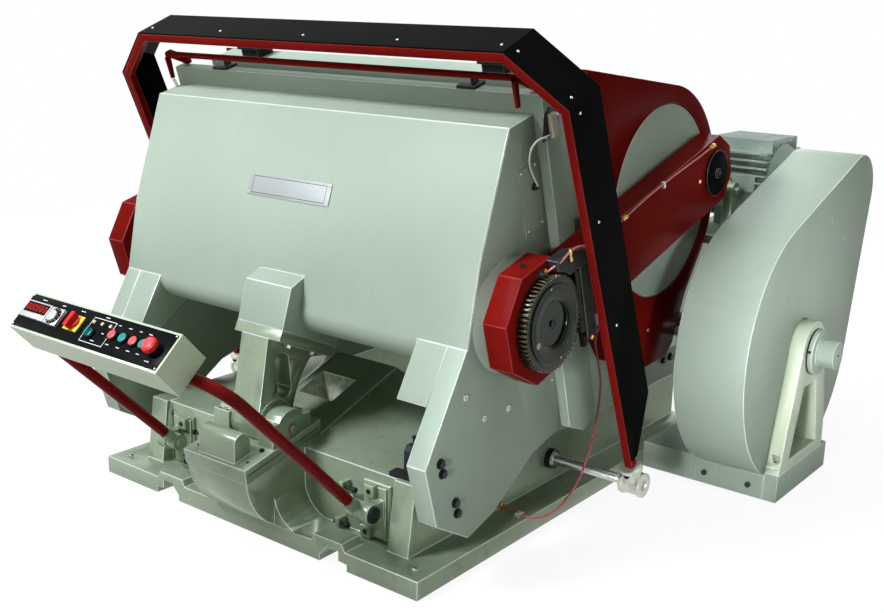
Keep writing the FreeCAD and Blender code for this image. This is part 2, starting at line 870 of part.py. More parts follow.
# Sheet cover round the flywheel and the pulley.
def flywheel_cover():
    outer = teardrop(
        "cover_outside", "drive_y", "drive_z", "cover_radius",
        "motor_y", "motor_z", "cover_tip_radius", ("cover_inner", "cover_outer"),
    )
    inner = teardrop(
        "cover_inside", "drive_y", "drive_z", "cover_radius - 4",
        "motor_y", "motor_z", "cover_tip_radius - 4", ("cover_inner + 4", "cover_outer - 4"),
    )
    reach = ("cover_inner - 5", "cover_outer + 5")
    floor = box("cover_floor", reach, ("0", "1200"), ("-200", "block_height"))
    gap = shaft("cover_gap", "drive_y", "drive_z", "drive_radius + 14", reach)
    motor_gap = shaft("cover_motor_gap", "motor_y", "motor_z", "46", ("cover_inner - 5", "cover_inner + 5"))
    slot_reach = ("cover_outer - 8", "cover_outer + 5")
    slot_legs = side_prism(
        "cover_slot_legs",
        [
            ("drive_y - 196", "block_height - 1"),
            ("drive_y - 92", "drive_z + 20"),
            ("drive_y + 92", "drive_z + 20"),
            ("drive_y + 156", "block_height + 128"),
            ("drive_y + 166", "block_height - 1"),
        ],
        slot_reach,
    )
    slot_head = shaft("cover_slot_head", "drive_y", "drive_z", "96", slot_reach)
    node(cut("cover_body", outer, [inner, floor, gap, motor_gap, slot_legs, slot_head]), "flywheel_cover")


# Flywheel with a pierced web, free to turn on the drive shaft.
def flywheel():
    rim = shaft(
        "flywheel_rim", "drive_y", "drive_z", "flywheel_radius",
        ("flywheel_middle - flywheel_half", "flywheel_middle + flywheel_half"),
    )
    left = shaft(
        "flywheel_left", "drive_y", "drive_z", "flywheel_radius - 56",
        ("flywheel_middle - flywheel_half - 1", "flywheel_middle - 16"),
    )
    right = shaft(
        "flywheel_right", "drive_y", "drive_z", "flywheel_radius - 56",
        ("flywheel_middle + 16", "flywheel_middle + flywheel_half + 1"),
    )
    bore = shaft(
        "flywheel_bore", "drive_y", "drive_z", "drive_radius + running_clearance",
        ("cover_inner", "cover_outer"),
    )
    hub = shaft(
        "flywheel_hub", "drive_y", "drive_z", "92",
        ("flywheel_middle - flywheel_half - 6", "flywheel_middle + flywheel_half + 6"),
    )
    holes = []
    for index in range(6):
        holes.append(shaft(
            "flywheel_hole_%d" % index,
            "drive_y + 195*cos(%d*1deg)" % (60 * index),
            "drive_z + 195*sin(%d*1deg)" % (60 * index),
            "62",
            ("flywheel_middle - 26", "flywheel_middle + 26"),
        ))
    web = cut("flywheel_web", rim, [left, right] + holes)
    node(cut("flywheel_body", join("flywheel_solid", [web, hub]), [bore]), "flywheel")


# Motor with fins and terminal box, its pulley, and the shelf with the hinge lug.
def motor():
    pulley = shaft(
        "pulley_blank", "motor_y", "motor_z", "pulley_radius",
        ("flywheel_middle - 48", "flywheel_middle + 46"),
    )
    stub = shaft("pulley_stub", "motor_y", "motor_z", "19", ("cover_inner - 3.7", "flywheel_middle - 46"))
    node(join("pulley_body", [pulley, stub]), "motor_pulley")
    core = shaft(
        "motor_core", "motor_y", "motor_z", "motor_radius", ("cover_inner - 270", "cover_inner - 45"),
    )
    cowl = shaft(
        "motor_cowl", "motor_y", "motor_z", "motor_radius + 12", ("cover_inner - 345", "cover_inner - 259"),
    )
    bell = cone_shaft(
        "motor_bell", "motor_y", "motor_z", "motor_radius + 14", "92",
        ("cover_inner - 45", "cover_inner - 4"),
    )
    parts = [core, cowl, bell]
    for index in range(9):
        parts.append(box(
            "motor_fin_up_%d" % index, ("cover_inner - 259", "cover_inner - 45"),
            ("motor_y - 100 + %d*25 - 3" % index, "motor_y - 100 + %d*25 + 3" % index),
            ("motor_z", "motor_z + 150"),
        ))
    for index in range(5):
        parts.append(box(
            "motor_fin_side_%d" % index, ("cover_inner - 259", "cover_inner - 45"),
            ("motor_y - 140", "motor_y + 140"),
            ("motor_z + 10 + %d*24 - 3" % index, "motor_z + 10 + %d*24 + 3" % index),
        ))
    parts.append(box(
        "terminal_box", ("cover_inner - 215", "cover_inner - 80"),
        ("motor_y - 140", "motor_y - 60"), ("motor_z - 20", "motor_z + 36"),
    ))
    for index, y in enumerate((-95, 55)):
        parts.append(box(
            "motor_foot_%d" % index, ("cover_inner - 235", "cover_inner - 55"),
            ("motor_y + %d" % y, "motor_y + %d + 40" % y), ("motor_z - 145", "motor_z - 60"),
        ))
    node(join("motor_body", parts), "motor")
    shelf = box(
        "motor_shelf", ("body_half_width", "cover_inner - 25"),
        ("640", "motor_y + 110"), ("motor_z - 175", "motor_z - 145"),
    )
    web = side_prism(
        "motor_web",
        [
            ("640", "motor_z - 174"),
            ("640", "rail_height + 120"),
            ("base_half_depth - 15", "rail_height + 120"),
            ("motor_y + 110", "motor_z - 250"),
            ("motor_y + 110", "motor_z - 174"),
        ],
        ("body_half_width", "body_half_width + 25"),
    )
    lug_reach = ("cover_inner - 159", "cover_inner - 127")
    lug = box("motor_lug", lug_reach, ("754", "808"), ("motor_z - 146", "motor_z - 18"))
    eye = shaft("motor_eye", "781", "motor_z - 18", "30", lug_reach)
    bolt = shaft(
        "motor_hinge_bolt", "781", "motor_z - 18", "15", ("cover_inner - 128", "cover_inner - 115"),
    )
    node(join("motor_mount_body", [shelf, web, lug, eye, bolt]), "motor_mount")


# Platen casting with legs, shrouds and link lug, and the sheet cover on it.
def platen_casting():
    front = [("-490", "1154"), ("-595", "841"), ("-637", "629")]
    inner_front = [(y + " + cover_sheet", z) for y, z in front]
    curl_low = "557.5"
    curl_end = ("-578", "-552")
    inner_low = curl_low + " + cover_sheet"
    inner_radius = "curl_radius - cover_sheet"
    ledge = leaning(PRESS, "plate_front", "plate_top - 50")
    heel = leaning(PRESS, "plate_front", "plate_top - 630")
    box_body = side_prism(
        "platen_box",
        inner_front + [
            (curl_end[0], inner_low, inner_radius, RIGHT),
            (curl_end[1], inner_low),
            heel,
            ledge,
        ],
        ("-casting_half_width", "casting_half_width"),
    )
    solids = [box_body]
    for side, word in ((1, "right"), (-1, "left")):
        solids.append(side_prism(
            "leg_" + word,
            inner_front + [
                front[2],
                ("-791", "362.5"),
                ("-742.5", "199"),
                ("-611", "122.5"),
                ("-502.5", "156"),
                ("-324", "268"),
                ("-210", "300"),
                heel,
                ledge,
            ],
            span(side, "leg_inner", "casting_half_width"),
        ))
        solids.append(side_prism(
            "shroud_" + word,
            [
                inner_front[2],
                front[2],
                ("-717", "490.5"),
                ("-640", "470"),
                ("-500", "566"),
                ("-500", "640"),
            ],
            span(side, "curl_half_width + 2", "leg_inner + 1"),
        ))
    solids.append(side_prism(
        "lug",
        [
            ("-703", "583"),
            ("-497", "490"),
            ("-455", "590"),
            ("-540", "660"),
            ("-610", "720"),
            ("-668", "694"),
        ],
        ("-link_half_width", "link_half_width"),
    ))
    sockets = []
    for side, word in ((1, "right"), (-1, "left")):
        sockets.append(shaft(
            "socket_" + word, "trunnion_y", "trunnion_z", "trunnion_radius",
            span(side, "casting_half_width - 90", "casting_half_width + 1"),
        ))
    node(cut("platen_body", join("platen_solid", solids), sockets), "platen_casting")
    sheet_one = side_prism(
        "cover_face", front + inner_front[::-1], ("-casting_half_width", "casting_half_width"),
    )
    sheet_two = side_prism(
        "cover_curl",
        [
            front[2],
            (curl_end[0], curl_low, "curl_radius", RIGHT),
            (curl_end[1], curl_low),
            (curl_end[1], inner_low),
            (curl_end[0], inner_low),
            inner_front[2] + (inner_radius, LEFT),
        ],
        ("-curl_half_width", "curl_half_width"),
    )
    lug_gap = box(
        "cover_lug_gap", ("-link_half_width", "link_half_width"), ("-720", "-500"), ("480", "721"),
    )
    cover = join("front_cover_solid", [sheet_one, sheet_two])
    node(cut("front_cover_body", cover, [lug_gap]), "front_cover")


# Platen plate with cheeks and trip bar lugs, and the cutting plate on its back.
def platen_plate():
    slab = [
        ("plate_front", "plate_top - 800"),
        ("plate_front", "plate_top"),
        ("plate_back - bevel_depth", "plate_top"),
        ("plate_back", "plate_top - bevel_height"),
        ("plate_back", "plate_top - 800"),
    ]
    plate = side_prism(
        "plate_slab", [leaning(PRESS, along, up) for along, up in slab],
        ("-plate_half_width", "plate_half_width"),
    )
    cheeks = [plate]
    for side, word in ((1, "right"), (-1, "left")):
        cheeks.append(side_prism(
            "cheek_" + word,
            [
                leaning(PRESS, "plate_front", "plate_top - 404"),
                leaning(PRESS, "plate_front - 55", "plate_top - 594"),
                leaning(PRESS, "plate_front - 58", "plate_top - 944"),
                leaning(PRESS, "plate_back - 71", "plate_top - 994"),
                leaning(PRESS, "plate_back - 3", "plate_top - 986"),
                leaning(PRESS, "plate_back", "plate_top - 404"),
            ],
            span(side, "casting_half_width", "plate_half_width"),
        ))
        lug = leaning_box(
            "trip_lug_" + word, PRESS, span(side, "plate_half_width - 33", "plate_half_width - 22"),
            ("plate_front + 16", "plate_front + 36"), ("plate_top - 1", "plate_top + 20"),
        )
        y, z = leaning(PRESS, "plate_front + 26", "plate_top + 12")
        hole = shaft(
            "trip_bore_" + word, y, z, "5 + running_clearance",
            span(side, "plate_half_width - 35", "plate_half_width - 15"),
        )
        cheeks.append(cut("trip_lug_bored_" + word, lug, [hole]))
    node(join("plate_body", cheeks), "platen_plate")
    node(leaning_box(
        "cutting_plate_body", PRESS,
        ("-610", "610"), ("plate_back", "plate_back + cut_sheet"), ("plate_top - 710", "plate_top - 26"),
    ), "cutting_plate")


# Slotted centre link with its pivot shaft and bolts.
def center_link():
    flange = side_prism(
        "link_flange",
        [("-716", "555"), ("-510", "462"), ("-497", "490"), ("-703", "583")],
        ("-link_half_width", "link_half_width"),
    )
    neck = side_prism(
        "link_neck",
        [
            ("-722", "558"), ("pivot_y - hub_radius", "pivot_z"), ("pivot_y + hub_radius", "pivot_z"),
            ("-548", "480", "neck_radius", LEFT),
        ],
        ("-52", "52"),
    )
    hub = shaft("link_hub", "pivot_y", "pivot_z", "hub_radius", ("-cap_inner + 2", "cap_inner - 2"))
    slot_top = shaft("slot_top", "-672", "480", "26", ("-60", "60"))
    slot_low = shaft("slot_low", "-664", "400", "26", ("-60", "60"))
    slot = side_prism(
        "slot_middle",
        [("-698", "482"), ("-690", "402"), ("-638", "398"), ("-646", "478")],
        ("-60", "60"),
    )
    pivot = shaft(
        "pivot_shaft", "pivot_y", "pivot_z", "pivot_radius",
        ("-pivot_half_length", "pivot_half_length"),
    )
    link = cut("link_slotted", join("link_solid", [flange, neck, hub]), [slot_top, slot_low, slot])
    node(join("link_body", [link, pivot]), "center_link")
    bolts = []
    corners = ((70, -664, 531.2), (70, -572, 489.6), (-70, -664, 531.2), (-70, -572, 489.6))
    for index, (x, y, z) in enumerate(corners):
        bolt = doc.addObject("Part::Prism", "link_bolt_%d" % index)
        bolt.Polygon = 6
        drive(bolt, "Circumradius", "11")
        drive(bolt, "Height", "10")
        turn(bolt, (1, 0, 0), 180 - 24.3)
        place(bolt, x, y, z)
        bolts.append(bolt)
    node(group("link_bolts_body", bolts), "link_bolts")


# Trunnions that carry the connecting arms.
def trunnions():
    pieces = []
    for side, word in ((1, "right"), (-1, "left")):
        if side > 0:
            flare = cone_shaft(
                "trunnion_flare_" + word, "trunnion_y", "trunnion_z", "152", "112",
                ("casting_half_width", "arm_inner - 4"),
            )
        else:
            flare = cone_shaft(
                "trunnion_flare_" + word, "trunnion_y", "trunnion_z", "112", "152",
                ("-arm_inner + 4", "-casting_half_width"),
            )
        pin = shaft(
            "trunnion_pin_" + word, "trunnion_y", "trunnion_z", "trunnion_radius",
            span(side, "casting_half_width - 90", "arm_outer + 22"),
        )
        pieces.append(join("trunnion_" + word, [flare, pin]))
    node(group("trunnions_body", pieces), "trunnions")


# Name plate, feed fingers and sensor on the platen.
def platen_fittings():
    name_plate = side_prism(
        "name_plate_body",
        [("-553.0", "966.2"), ("-572.8", "907.2"), ("-575.2", "908.0"), ("-555.4", "967.0")],
        ("-180", "135"),
    )
    node(name_plate, "name_plate")
    fingers = []
    for index, x in enumerate((-477, 457)):
        bar = leaning_box(
            "finger_bar_%d" % index, PRESS,
            ("%d - 29" % x, "%d + 29" % x),
            ("plate_front - 2", "plate_front + 48"),
            ("plate_top", "plate_top + 9"),
        )
        stem = leaning_box(
            "finger_stem_%d" % index, PRESS,
            ("%d + 4" % x, "%d + 20" % x),
            ("plate_front + 18", "plate_front + 34"),
            ("plate_top", "plate_top + 26"),
        )
        fingers.append(join("finger_%d" % index, [bar, stem]))
    node(group("fingers_body", fingers), "feed_fingers")
    switch = leaning_box(
        "switch_case", PRESS,
        ("plate_half_width", "plate_half_width + 16"), ("plate_front + 12", "plate_front + 34"),
        ("plate_top - 116", "plate_top - 54"),
    )
    node(switch, "limit_switch")


# Trip bar hinged on lugs at the platen's top corners.
def trip_bar():
    y, z = leaning(PRESS, "plate_front - 49", "plate_top + 58")
    hinge_y, hinge_z = leaning(PRESS, "plate_front + 26", "plate_top + 12")
    parts = [shaft("trip_rod", y, z, "9", ("-plate_half_width + 34", "plate_half_width - 34"))]
    for side, word in ((1, "right"), (-1, "left")):
        parts.append(side_prism(
            "trip_lever_" + word,
            [
                leaning(PRESS, "plate_front - 57", "plate_top + 62"),
                leaning(PRESS, "plate_front - 54", "plate_top - 18"),
                leaning(PRESS, "plate_front - 42", "plate_top - 18"),
                leaning(PRESS, "plate_front - 38", "plate_top + 42"),
                leaning(PRESS, "plate_front + 18", "plate_top + 4"),
                leaning(PRESS, "plate_front + 36", "plate_top + 4"),
                leaning(PRESS, "plate_front + 36", "plate_top + 22"),
                leaning(PRESS, "plate_front - 30", "plate_top + 66"),
            ],
            span(side, "plate_half_width - 42", "plate_half_width - 34"),
        ))
        parts.append(shaft(
            "trip_hinge_" + word, hinge_y, hinge_z, "5",
            span(side, "plate_half_width - 43", "plate_half_width - 20"),
        ))
        ball = doc.addObject("Part::Sphere", "trip_ball_" + word)
        drive(ball, "Radius", "12")
        place(ball, "%d*(plate_half_width - 34)" % side, y, z)
        parts.append(ball)
    node(join("trip_body", parts), "trip_bar")


# Connecting arms with octagonal heads, end caps and the pressure adjustment.
def arms():
    head = "151"
    corner = "62.5"
    profile = [
        (corner, head),
        ("-" + corner, head),
        ("-" + head, corner),
        ("-" + head, "-" + corner),
        ("-" + corner, "-" + head),
        (corner, "-" + head),
        (corner + " + 48", "-arm_half_height"),
        (ARM_LENGTH + " + 46", "-arm_half_height"),
        (ARM_LENGTH + " + 108", "-46"),
        (ARM_LENGTH + " + 108", "46"),
        (ARM_LENGTH + " + 46", "arm_half_height"),
        (corner + " + 48", "arm_half_height"),
    ]
    points = [leaning(ARM, along, up) for along, up in profile]
    for side, word in ((1, "right"), (-1, "left")):
        bar = side_prism("arm_bar_" + word, points, span(side, "arm_inner", "arm_outer"))
        bore = shaft(
            "arm_bore_" + word, "trunnion_y", "trunnion_z", "trunnion_radius + running_clearance",
            span(side, "arm_inner - 5", "arm_outer + 5"),
        )
        node(cut("arm_body_" + word, bar, [bore]), "arm_" + word)
        cap = shaft("cap_disc_" + word, PIN_Y, PIN_Z, "69", span(side, "arm_outer", "arm_outer + 8"))
        boss = shaft("cap_boss_" + word, PIN_Y, PIN_Z, "14", span(side, "arm_outer", "arm_outer + 14"))
        node(join("arm_cap_body_" + word, [cap, boss]), "arm_cap_" + word)
    near = "(wheel_radius + worm_radius + 1)"
    shape = [
        ("44", "90"), ("44", "150"), (near + " - 30", "150"), (near + " + 40", "124"),
        (near + " + 46", "-122"), (near, "-115"), (near, "90"),
    ]
    reach = ("arm_outer", "arm_outer + housing_thickness")
    case = side_prism("worm_case", [leaning(ARM, along, up) for along, up in shape], reach)
    middle = "arm_outer + housing_thickness/2"
    bore = knob("worm_bore", ARM, middle, near, "worm_radius + running_clearance", ("-130", "84"))
    relief = shaft("wheel_relief", "trunnion_y", "trunnion_z", "wheel_radius + 6", reach)
    node(cut("worm_housing_body", case, [bore, relief]), "worm_housing")
    screw = knob("worm_screw", ARM, middle, near, "worm_radius", ("-96", "82"))
    square = leaning_box(
        "worm_square", ARM,
        (middle + " - 7", middle + " + 7"), (near + " - 7", near + " + 7"), ("-142", "-95"),
    )
    node(join("worm_body", [screw, square]), "worm")


# Toothed pressure wheel on the right trunnion.
def worm_wheel():
    body = doc.addObject("PartDesign::Body", "worm_wheel_body")
    planes = {feature.Role: feature for feature in body.Origin.OriginFeatures if hasattr(feature, "Role")}
    blank = body.newObject("Sketcher::SketchObject", "wheel_blank")
    blank.AttachmentSupport = [(planes["YZ_Plane"], "")]
    blank.MapMode = "FlatFace"
    rim = DIMENSIONS["wheel_radius"]
    hole = DIMENSIONS["trunnion_radius"] + DIMENSIONS["running_clearance"]
    for radius in (rim, hole):
        blank.addGeometry(Part.Circle(FreeCAD.Vector(), FreeCAD.Vector(0, 0, 1), radius), False)
    blank.addConstraint([
        Sketcher.Constraint("Coincident", 0, 3, -1, 1),
        Sketcher.Constraint("Coincident", 1, 3, -1, 1),
        Sketcher.Constraint("Radius", 0, rim),
        Sketcher.Constraint("Radius", 1, hole),
    ])
    drive(blank, "Constraints[2]", "wheel_radius")
    drive(blank, "Constraints[3]", "trunnion_radius + running_clearance")
    pad = body.newObject("PartDesign::Pad", "wheel_pad")
    pad.Profile = blank
    drive(pad, "Length", "28")
    gap = body.newObject("Sketcher::SketchObject", "tooth_gap")
    gap.AttachmentSupport = [(planes["YZ_Plane"], "")]
    gap.MapMode = "FlatFace"
    spots = [
        ("wheel_radius - 9", "-1.8"), ("wheel_radius + 2", "-4"),
        ("wheel_radius + 2", "4"), ("wheel_radius - 9", "1.8"),
    ]
    draw(gap, spots)
    pocket = body.newObject("PartDesign::Pocket", "tooth_pocket")
    pocket.Profile = gap
    pocket.Type = "ThroughAll"
    pocket.Midplane = True
    doc.recompute()
    pattern = body.newObject("PartDesign::PolarPattern", "teeth")
    pattern.Originals = [pocket]
    pattern.Axis = (gap, ["N_Axis"])
    pattern.Angle = 360
    drive(pattern, "Occurrences", "wheel_teeth")
    body.Tip = pattern
    place(body, "arm_outer + 2", "trunnion_y", "trunnion_z")
    node(body, "worm_wheel")


# Hinged safety guard on two floor-level shafts.
def safety_guard():
    edge = "(guard_half_width - guard_bar)"
    frame = guard_prism(
        "guard_frame_body",
        [
            ("guard_half_width", "tee_reach"),
            ("guard_half_width", "guard_knee"),
            ("guard_top_half", "guard_top"),
            ("-guard_top_half", "guard_top"),
            ("-guard_half_width", "guard_knee"),
            ("-guard_half_width", "tee_reach"),
            ("-" + edge, "tee_reach"),
            ("-" + edge, "guard_knee - guard_bar*0.46"),
            ("-guard_top_half + guard_bar*0.4", "guard_top - guard_bar"),
            ("guard_top_half - guard_bar*0.4", "guard_top - guard_bar"),
            (edge, "guard_knee - guard_bar*0.46"),
            (edge, "tee_reach"),
        ],
        "guard_bar/2", "guard_bar/2",
    )
    node(frame, "guard_frame")
    strip = guard_prism(
        "guard_strip",
        [
            ("guard_half_width", "96"),
            ("guard_half_width", "guard_knee"),
            ("guard_top_half", "guard_top"),
            ("-guard_top_half", "guard_top"),
            ("-guard_half_width", "guard_knee"),
            ("-guard_half_width", "96"),
            ("-guard_half_width - guard_sheet", "96"),
            ("-guard_half_width - guard_sheet", "guard_knee + guard_sheet*0.46"),
            ("-guard_top_half - guard_sheet*0.4", "guard_top + guard_sheet"),
            ("guard_top_half + guard_sheet*0.4", "guard_top + guard_sheet"),
            ("guard_half_width + guard_sheet", "guard_knee + guard_sheet*0.46"),
            ("guard_half_width + guard_sheet", "96"),
        ],
        "guard_bar/2", "guard_depth - guard_bar/2",
    )
    corner = side_prism(
        "guard_corner",
        [
            leaning(GUARD, "14", "90"),
            leaning(GUARD, "guard_depth + 20", "90"),
            leaning(GUARD, "guard_depth + 20", "290"),
        ],
        ("-guard_half_width - 20", "guard_half_width + 20"),
    )
    node(cut("guard_panels_body", strip, [corner]), "guard_panels")
    tees = []
    rods = []
    for side, word in ((1, "right"), (-1, "left")):
        middle = "%d*(guard_half_width - guard_bar/2)" % side
        near = "guard_half_width - guard_bar/2 - tee_half_length"
        far = "guard_half_width - guard_bar/2 + tee_half_length"
        parts = [
            shaft("tee_run_" + word, "guard_y", "guard_z", "32", span(side, near, far)),
            shaft("tee_ring_in_" + word, "guard_y", "guard_z", "36", span(side, near, near + " + 10")),
            shaft("tee_ring_out_" + word, "guard_y", "guard_z", "36", span(side, far + " - 10", far)),
            knob("tee_branch_" + word, GUARD, middle, "0", "27", ("0", "tee_reach")),
            knob("tee_ring_up_" + word, GUARD, middle, "0", "33", ("tee_reach - 12", "tee_reach")),
        ]
        bore = shaft(
            "tee_bore_" + word, "guard_y", "guard_z", "guard_shaft_radius + running_clearance",
            span(side, near + " - 5", far + " + 5"),
        )
        tees.append(cut("tee_" + word, join("tee_solid_" + word, parts), [bore]))
        rod = shaft(
            "guard_rod_" + word, "guard_y", "guard_z", "guard_shaft_radius",
            span(side, "body_half_width", far + " - 6"),
        )
        collar = shaft(
            "guard_collar_" + word, "guard_y", "guard_z", "30",
            span(side, "body_half_width", "body_half_width + 22"),
        )
        rods.append(join("guard_shaft_" + word, [rod, collar]))
    node(group("tees_body", tees), "guard_tees")
    node(group("guard_shafts_body", rods), "guard_shafts")


# Bent control bar with a socket at the end of each leg.
def control_bar():
    y, z = leaning(BAR, "0", "bar_length")
    leg = knob("bar_leg_tube", BAR, "bar_leg", "0", "tube_radius", ("14", "bar_length - bend_radius"))
    run = shaft("bar_run", y, z, "tube_radius", ("0", "bar_leg - bend_radius"))
    bend = doc.addObject("Part::Torus", "bar_bend")
    drive(bend, "Radius1", "bend_radius")
    drive(bend, "Radius2", "tube_radius")
    bend.Angle3 = 90
    turn(bend, (1, 0, 0), 90 + DIMENSIONS["bar_lean"])
    drive(bend, "Placement.Rotation.Angle", "(90 + bar_lean) * 1deg")
    bend_y, bend_z = leaning(BAR, "0", "bar_length - bend_radius")
    place(bend, "bar_leg - bend_radius", bend_y, bend_z)
    socket = shaft("bar_socket", "bar_y", "bar_z", "25", ("bar_leg - 21", "bar_leg + 18"))
    sleeve = knob("bar_sleeve", BAR, "bar_leg", "0", "tube_radius + 2", ("0", "58"))
    eye = shaft(
        "bar_eye", "bar_y", "bar_z", "bar_pin_radius + running_clearance",
        ("bar_leg - 30", "bar_leg + 30"),
    )
    half = cut("bar_half", join("bar_half_solid", [leg, run, bend, socket, sleeve]), [eye])
    other = doc.addObject("Part::Mirroring", "bar_other_half")
    other.Source = half
    other.Normal = FreeCAD.Vector(1, 0, 0)
    node(join("control_tube_body", [half, other]), "control_tube")


# Front brackets with the pins that the control bar turns on.
def bar_brackets():
    brackets = []
    for side, word in ((1, "right"), (-1, "left")):
        housing = shaft(
            "bar_housing_" + word, "bar_y", "bar_z", "29", span(side, "bar_leg + 19", "bar_leg + 54"),
        )
        web = box(
            "bar_web_" + word, span(side, "bar_leg + 22", "bar_leg + 51"),
            ("bar_y", "wall_front"), ("bar_z - 24", "bar_z + 24"),
        )
        flange = box(
            "bar_flange_" + word, span(side, "bar_leg - 16", "bar_leg + 58"),
            ("wall_front - 14", "wall_front"), ("bar_z - 88", "bar_z + 56"),
        )
        pin = shaft(
            "bar_pin_" + word, "bar_y", "bar_z", "bar_pin_radius",
            span(side, "bar_leg - 24", "bar_leg + 58"),
        )
        brackets.append(join("bar_bracket_" + word, [housing, web, flange, pin]))
    node(group("brackets_body", brackets), "bar_brackets")


# Operator panel clamped to the bar, with its instruments and buttons.
def control_panel():
    case = side_prism(
        "panel_case",
        [
            leaning(PANEL, "0", "0"),
            leaning(PANEL, "panel_width", "0"),
            leaning(PANEL, "panel_width", "-panel_thickness"),
            leaning(PANEL, "0", "-panel_thickness"),
        ],
        ("-panel_half_length", "panel_half_length"),
    )
    clamps = [case]
    y, z = leaning(BAR, "0", "bar_length")
    for index, x in enumerate((-180, 180)):
        block = leaning_box(
            "clamp_block_%d" % index, PANEL, ("%d - 20" % x, "%d + 20" % x),
            ("54.5 - 26", "54.5 + 26"), ("-panel_thickness - tube_radius - 14", "-panel_thickness + 1"),
        )
        hole = shaft("clamp_hole_%d" % index, y, z, "tube_radius", ("%d - 25" % x, "%d + 25" % x))
        clamps.append(cut("clamp_%d" % index, block, [hole]))
    node(join("panel_box_body", clamps), "panel_box")
    face = [leaning_box(
        "face_sheet", PANEL,
        ("-panel_half_length + 6", "panel_half_length - 6"), ("6", "panel_width - 6"), ("0", "2"),
    )]
    for name, x, along, top in (
        ("counter", (-272, -172), (34, 82), 8),
        ("timer", (-168, -116), (32, 80), 10),
        ("isolator", (-91, -38), (34, 78), 6),
    ):
        face.append(leaning_box(name, PANEL, x, along, ("1", top)))
    for index, x in enumerate((-2, 29, 60)):
        face.append(knob("lamp_%d" % index, PANEL, x, "74", "5", ("1", "6")))
    face.append(knob("selector_base", PANEL, "10", "43", "14", ("1", "7")))
    holes = []
    for index, x in enumerate((85, 124, 162, 197)):
        face.append(knob("bezel_%d" % index, PANEL, x, "55", "15", ("1", "7")))
        holes.append(knob("bezel_hole_%d" % index, PANEL, x, "55", "12.2", ("2", "9")))
        cap = knob("button_%d" % index, PANEL, x, "55", "11.7", ("5.4", "10"))
        node(cap, "push_button_%d" % (index + 1))
    face.append(knob("stop_collar", PANEL, "238", "52", "17", ("1", "8")))
    holes.append(knob("stop_hole", PANEL, "238", "52", "8.4", ("2", "9")))
    node(cut("panel_face_body", join("panel_face_solid", face), holes), "panel_face")
    stem = knob("stop_stem", PANEL, "238", "52", "8", ("6.6", "16"))
    head = knob("stop_head", PANEL, "238", "52", "20", ("14", "28"))
    node(join("stop_button_body", [stem, head]), "stop_button")
    disc = knob("isolator_disc", PANEL, "-64.5", "56", "17", ("6.2", "12"))
    grip = leaning_box("isolator_grip", PANEL, ("-71", "-58"), ("36", "76"), ("10", "26"))
    node(join("isolator_body", [disc, grip]), "isolator_handle")
    round_base = knob("selector_disc", PANEL, "10", "43", "11", ("7.2", "12"))
    handle = leaning_box("selector_grip", PANEL, ("7", "13"), ("32", "54"), ("10", "20"))
    node(join("selector_body", [round_base, handle]), "selector_knob")
    node(knob("timer_dial", PANEL, "-142", "54", "15", ("10.2", "18")), "timer_knob")


# Free tubes: straight runs joined by tangent arcs.
def cord(name, points, diameter):
    spots = [FreeCAD.Vector(*point) for point in points]
    edges = []
    start = spots[0]
    radii = []
    for i in range(1, len(spots) - 1):
        before = (spots[i] - spots[i - 1])
        after = (spots[i + 1] - spots[i])
        turn_angle = before.getAngle(after)
        reach = 0.45 * min(before.Length, after.Length)
        before.normalize()
        after.normalize()
        enter = spots[i] - before * reach
        leave = spots[i] + after * reach
        radius = reach / math.tan(turn_angle / 2)
        radii.append(round(radius, 1))
        inward = (after - before).normalize()
        centre = spots[i] + inward * (radius / math.cos(turn_angle / 2))
        middle = centre - inward * radius
        edges.append(Part.LineSegment(start, enter).toShape())
        edges.append(Part.Arc(enter, middle, leave).toShape())
        start = leave
    edges.append(Part.LineSegment(start, spots[-1]).toShape())
    path = Part.Wire(edges)
    ring = Part.Wire(Part.Circle(spots[0], spots[1] - spots[0], diameter / 2).toShape())
    tube = path.makePipeShell([ring], True, False)
    item = doc.addObject("Part::Feature", name + "_body")
    item.Shape = tube
    section = math.pi * diameter * diameter / 4
    print(name, "length", round(path.Length, 1), "radii", radii)
    print(name, "volume", round(tube.Volume), "section by length", round(section * path.Length))
    node(item, name)


def cords():
    wall = DIMENSIONS["body_half_width"]
    cord("oil_tube", [
        (wall, -284, 60), (wall + 48, -284, 60), (wall + 81, -293, 58), (wall + 113, -295, 57.5),
        (wall + 141, -272, 63), (wall + 161, -238, 78), (wall + 171, -189, 110), (wall + 173, -138, 153),
        (wall + 167, -87, 208), (wall + 157, -45, 260), (wall + 145, -10, 319), (wall + 131, 20, 385),
        (wall + 109, 32, 442), (wall + 81, 48.41, 502.98), (wall + 81, 87.17, 534.53),
    ], 6)
    side = DIMENSIONS["casting_half_width"]
    cord("sensor_cable", [
        (side + 37, -360.5, 1133.8), (side + 37, -383.5, 1127), (side + 35, -412, 1124),
        (side + 31, -432, 1110), (side + 26, -437, 1090), (side + 19, -428, 1068),
        (side + 13, -410, 1046), (side + 15, -393, 1020), (side + 18, -376, 1000), (side, -376, 1000),
    ], 5)


base_casting()
saddle()
bed()
main_frame()
gear_guards()
crank()
flywheel_base()
pedestal()
flywheel_cover()
flywheel()
motor()
platen_casting()
platen_plate()
center_link()
trunnions()
platen_fittings()
trip_bar()
arms()
worm_wheel()
safety_guard()
control_bar()
bar_brackets()
control_panel()
cords()
doc.recompute()

for item in NODES:
    shape = item.Shape
    if shape.isNull() or not shape.isValid() or "Invalid" in item.State:
        raise RuntimeError("%s did not build" % item.Label)
for item in NODES:
    item.Shape.exportStep("parts/%s.step" % item.Label)
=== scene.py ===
import json
import math

import bmesh
import bpy
from mathutils import Matrix, Vector


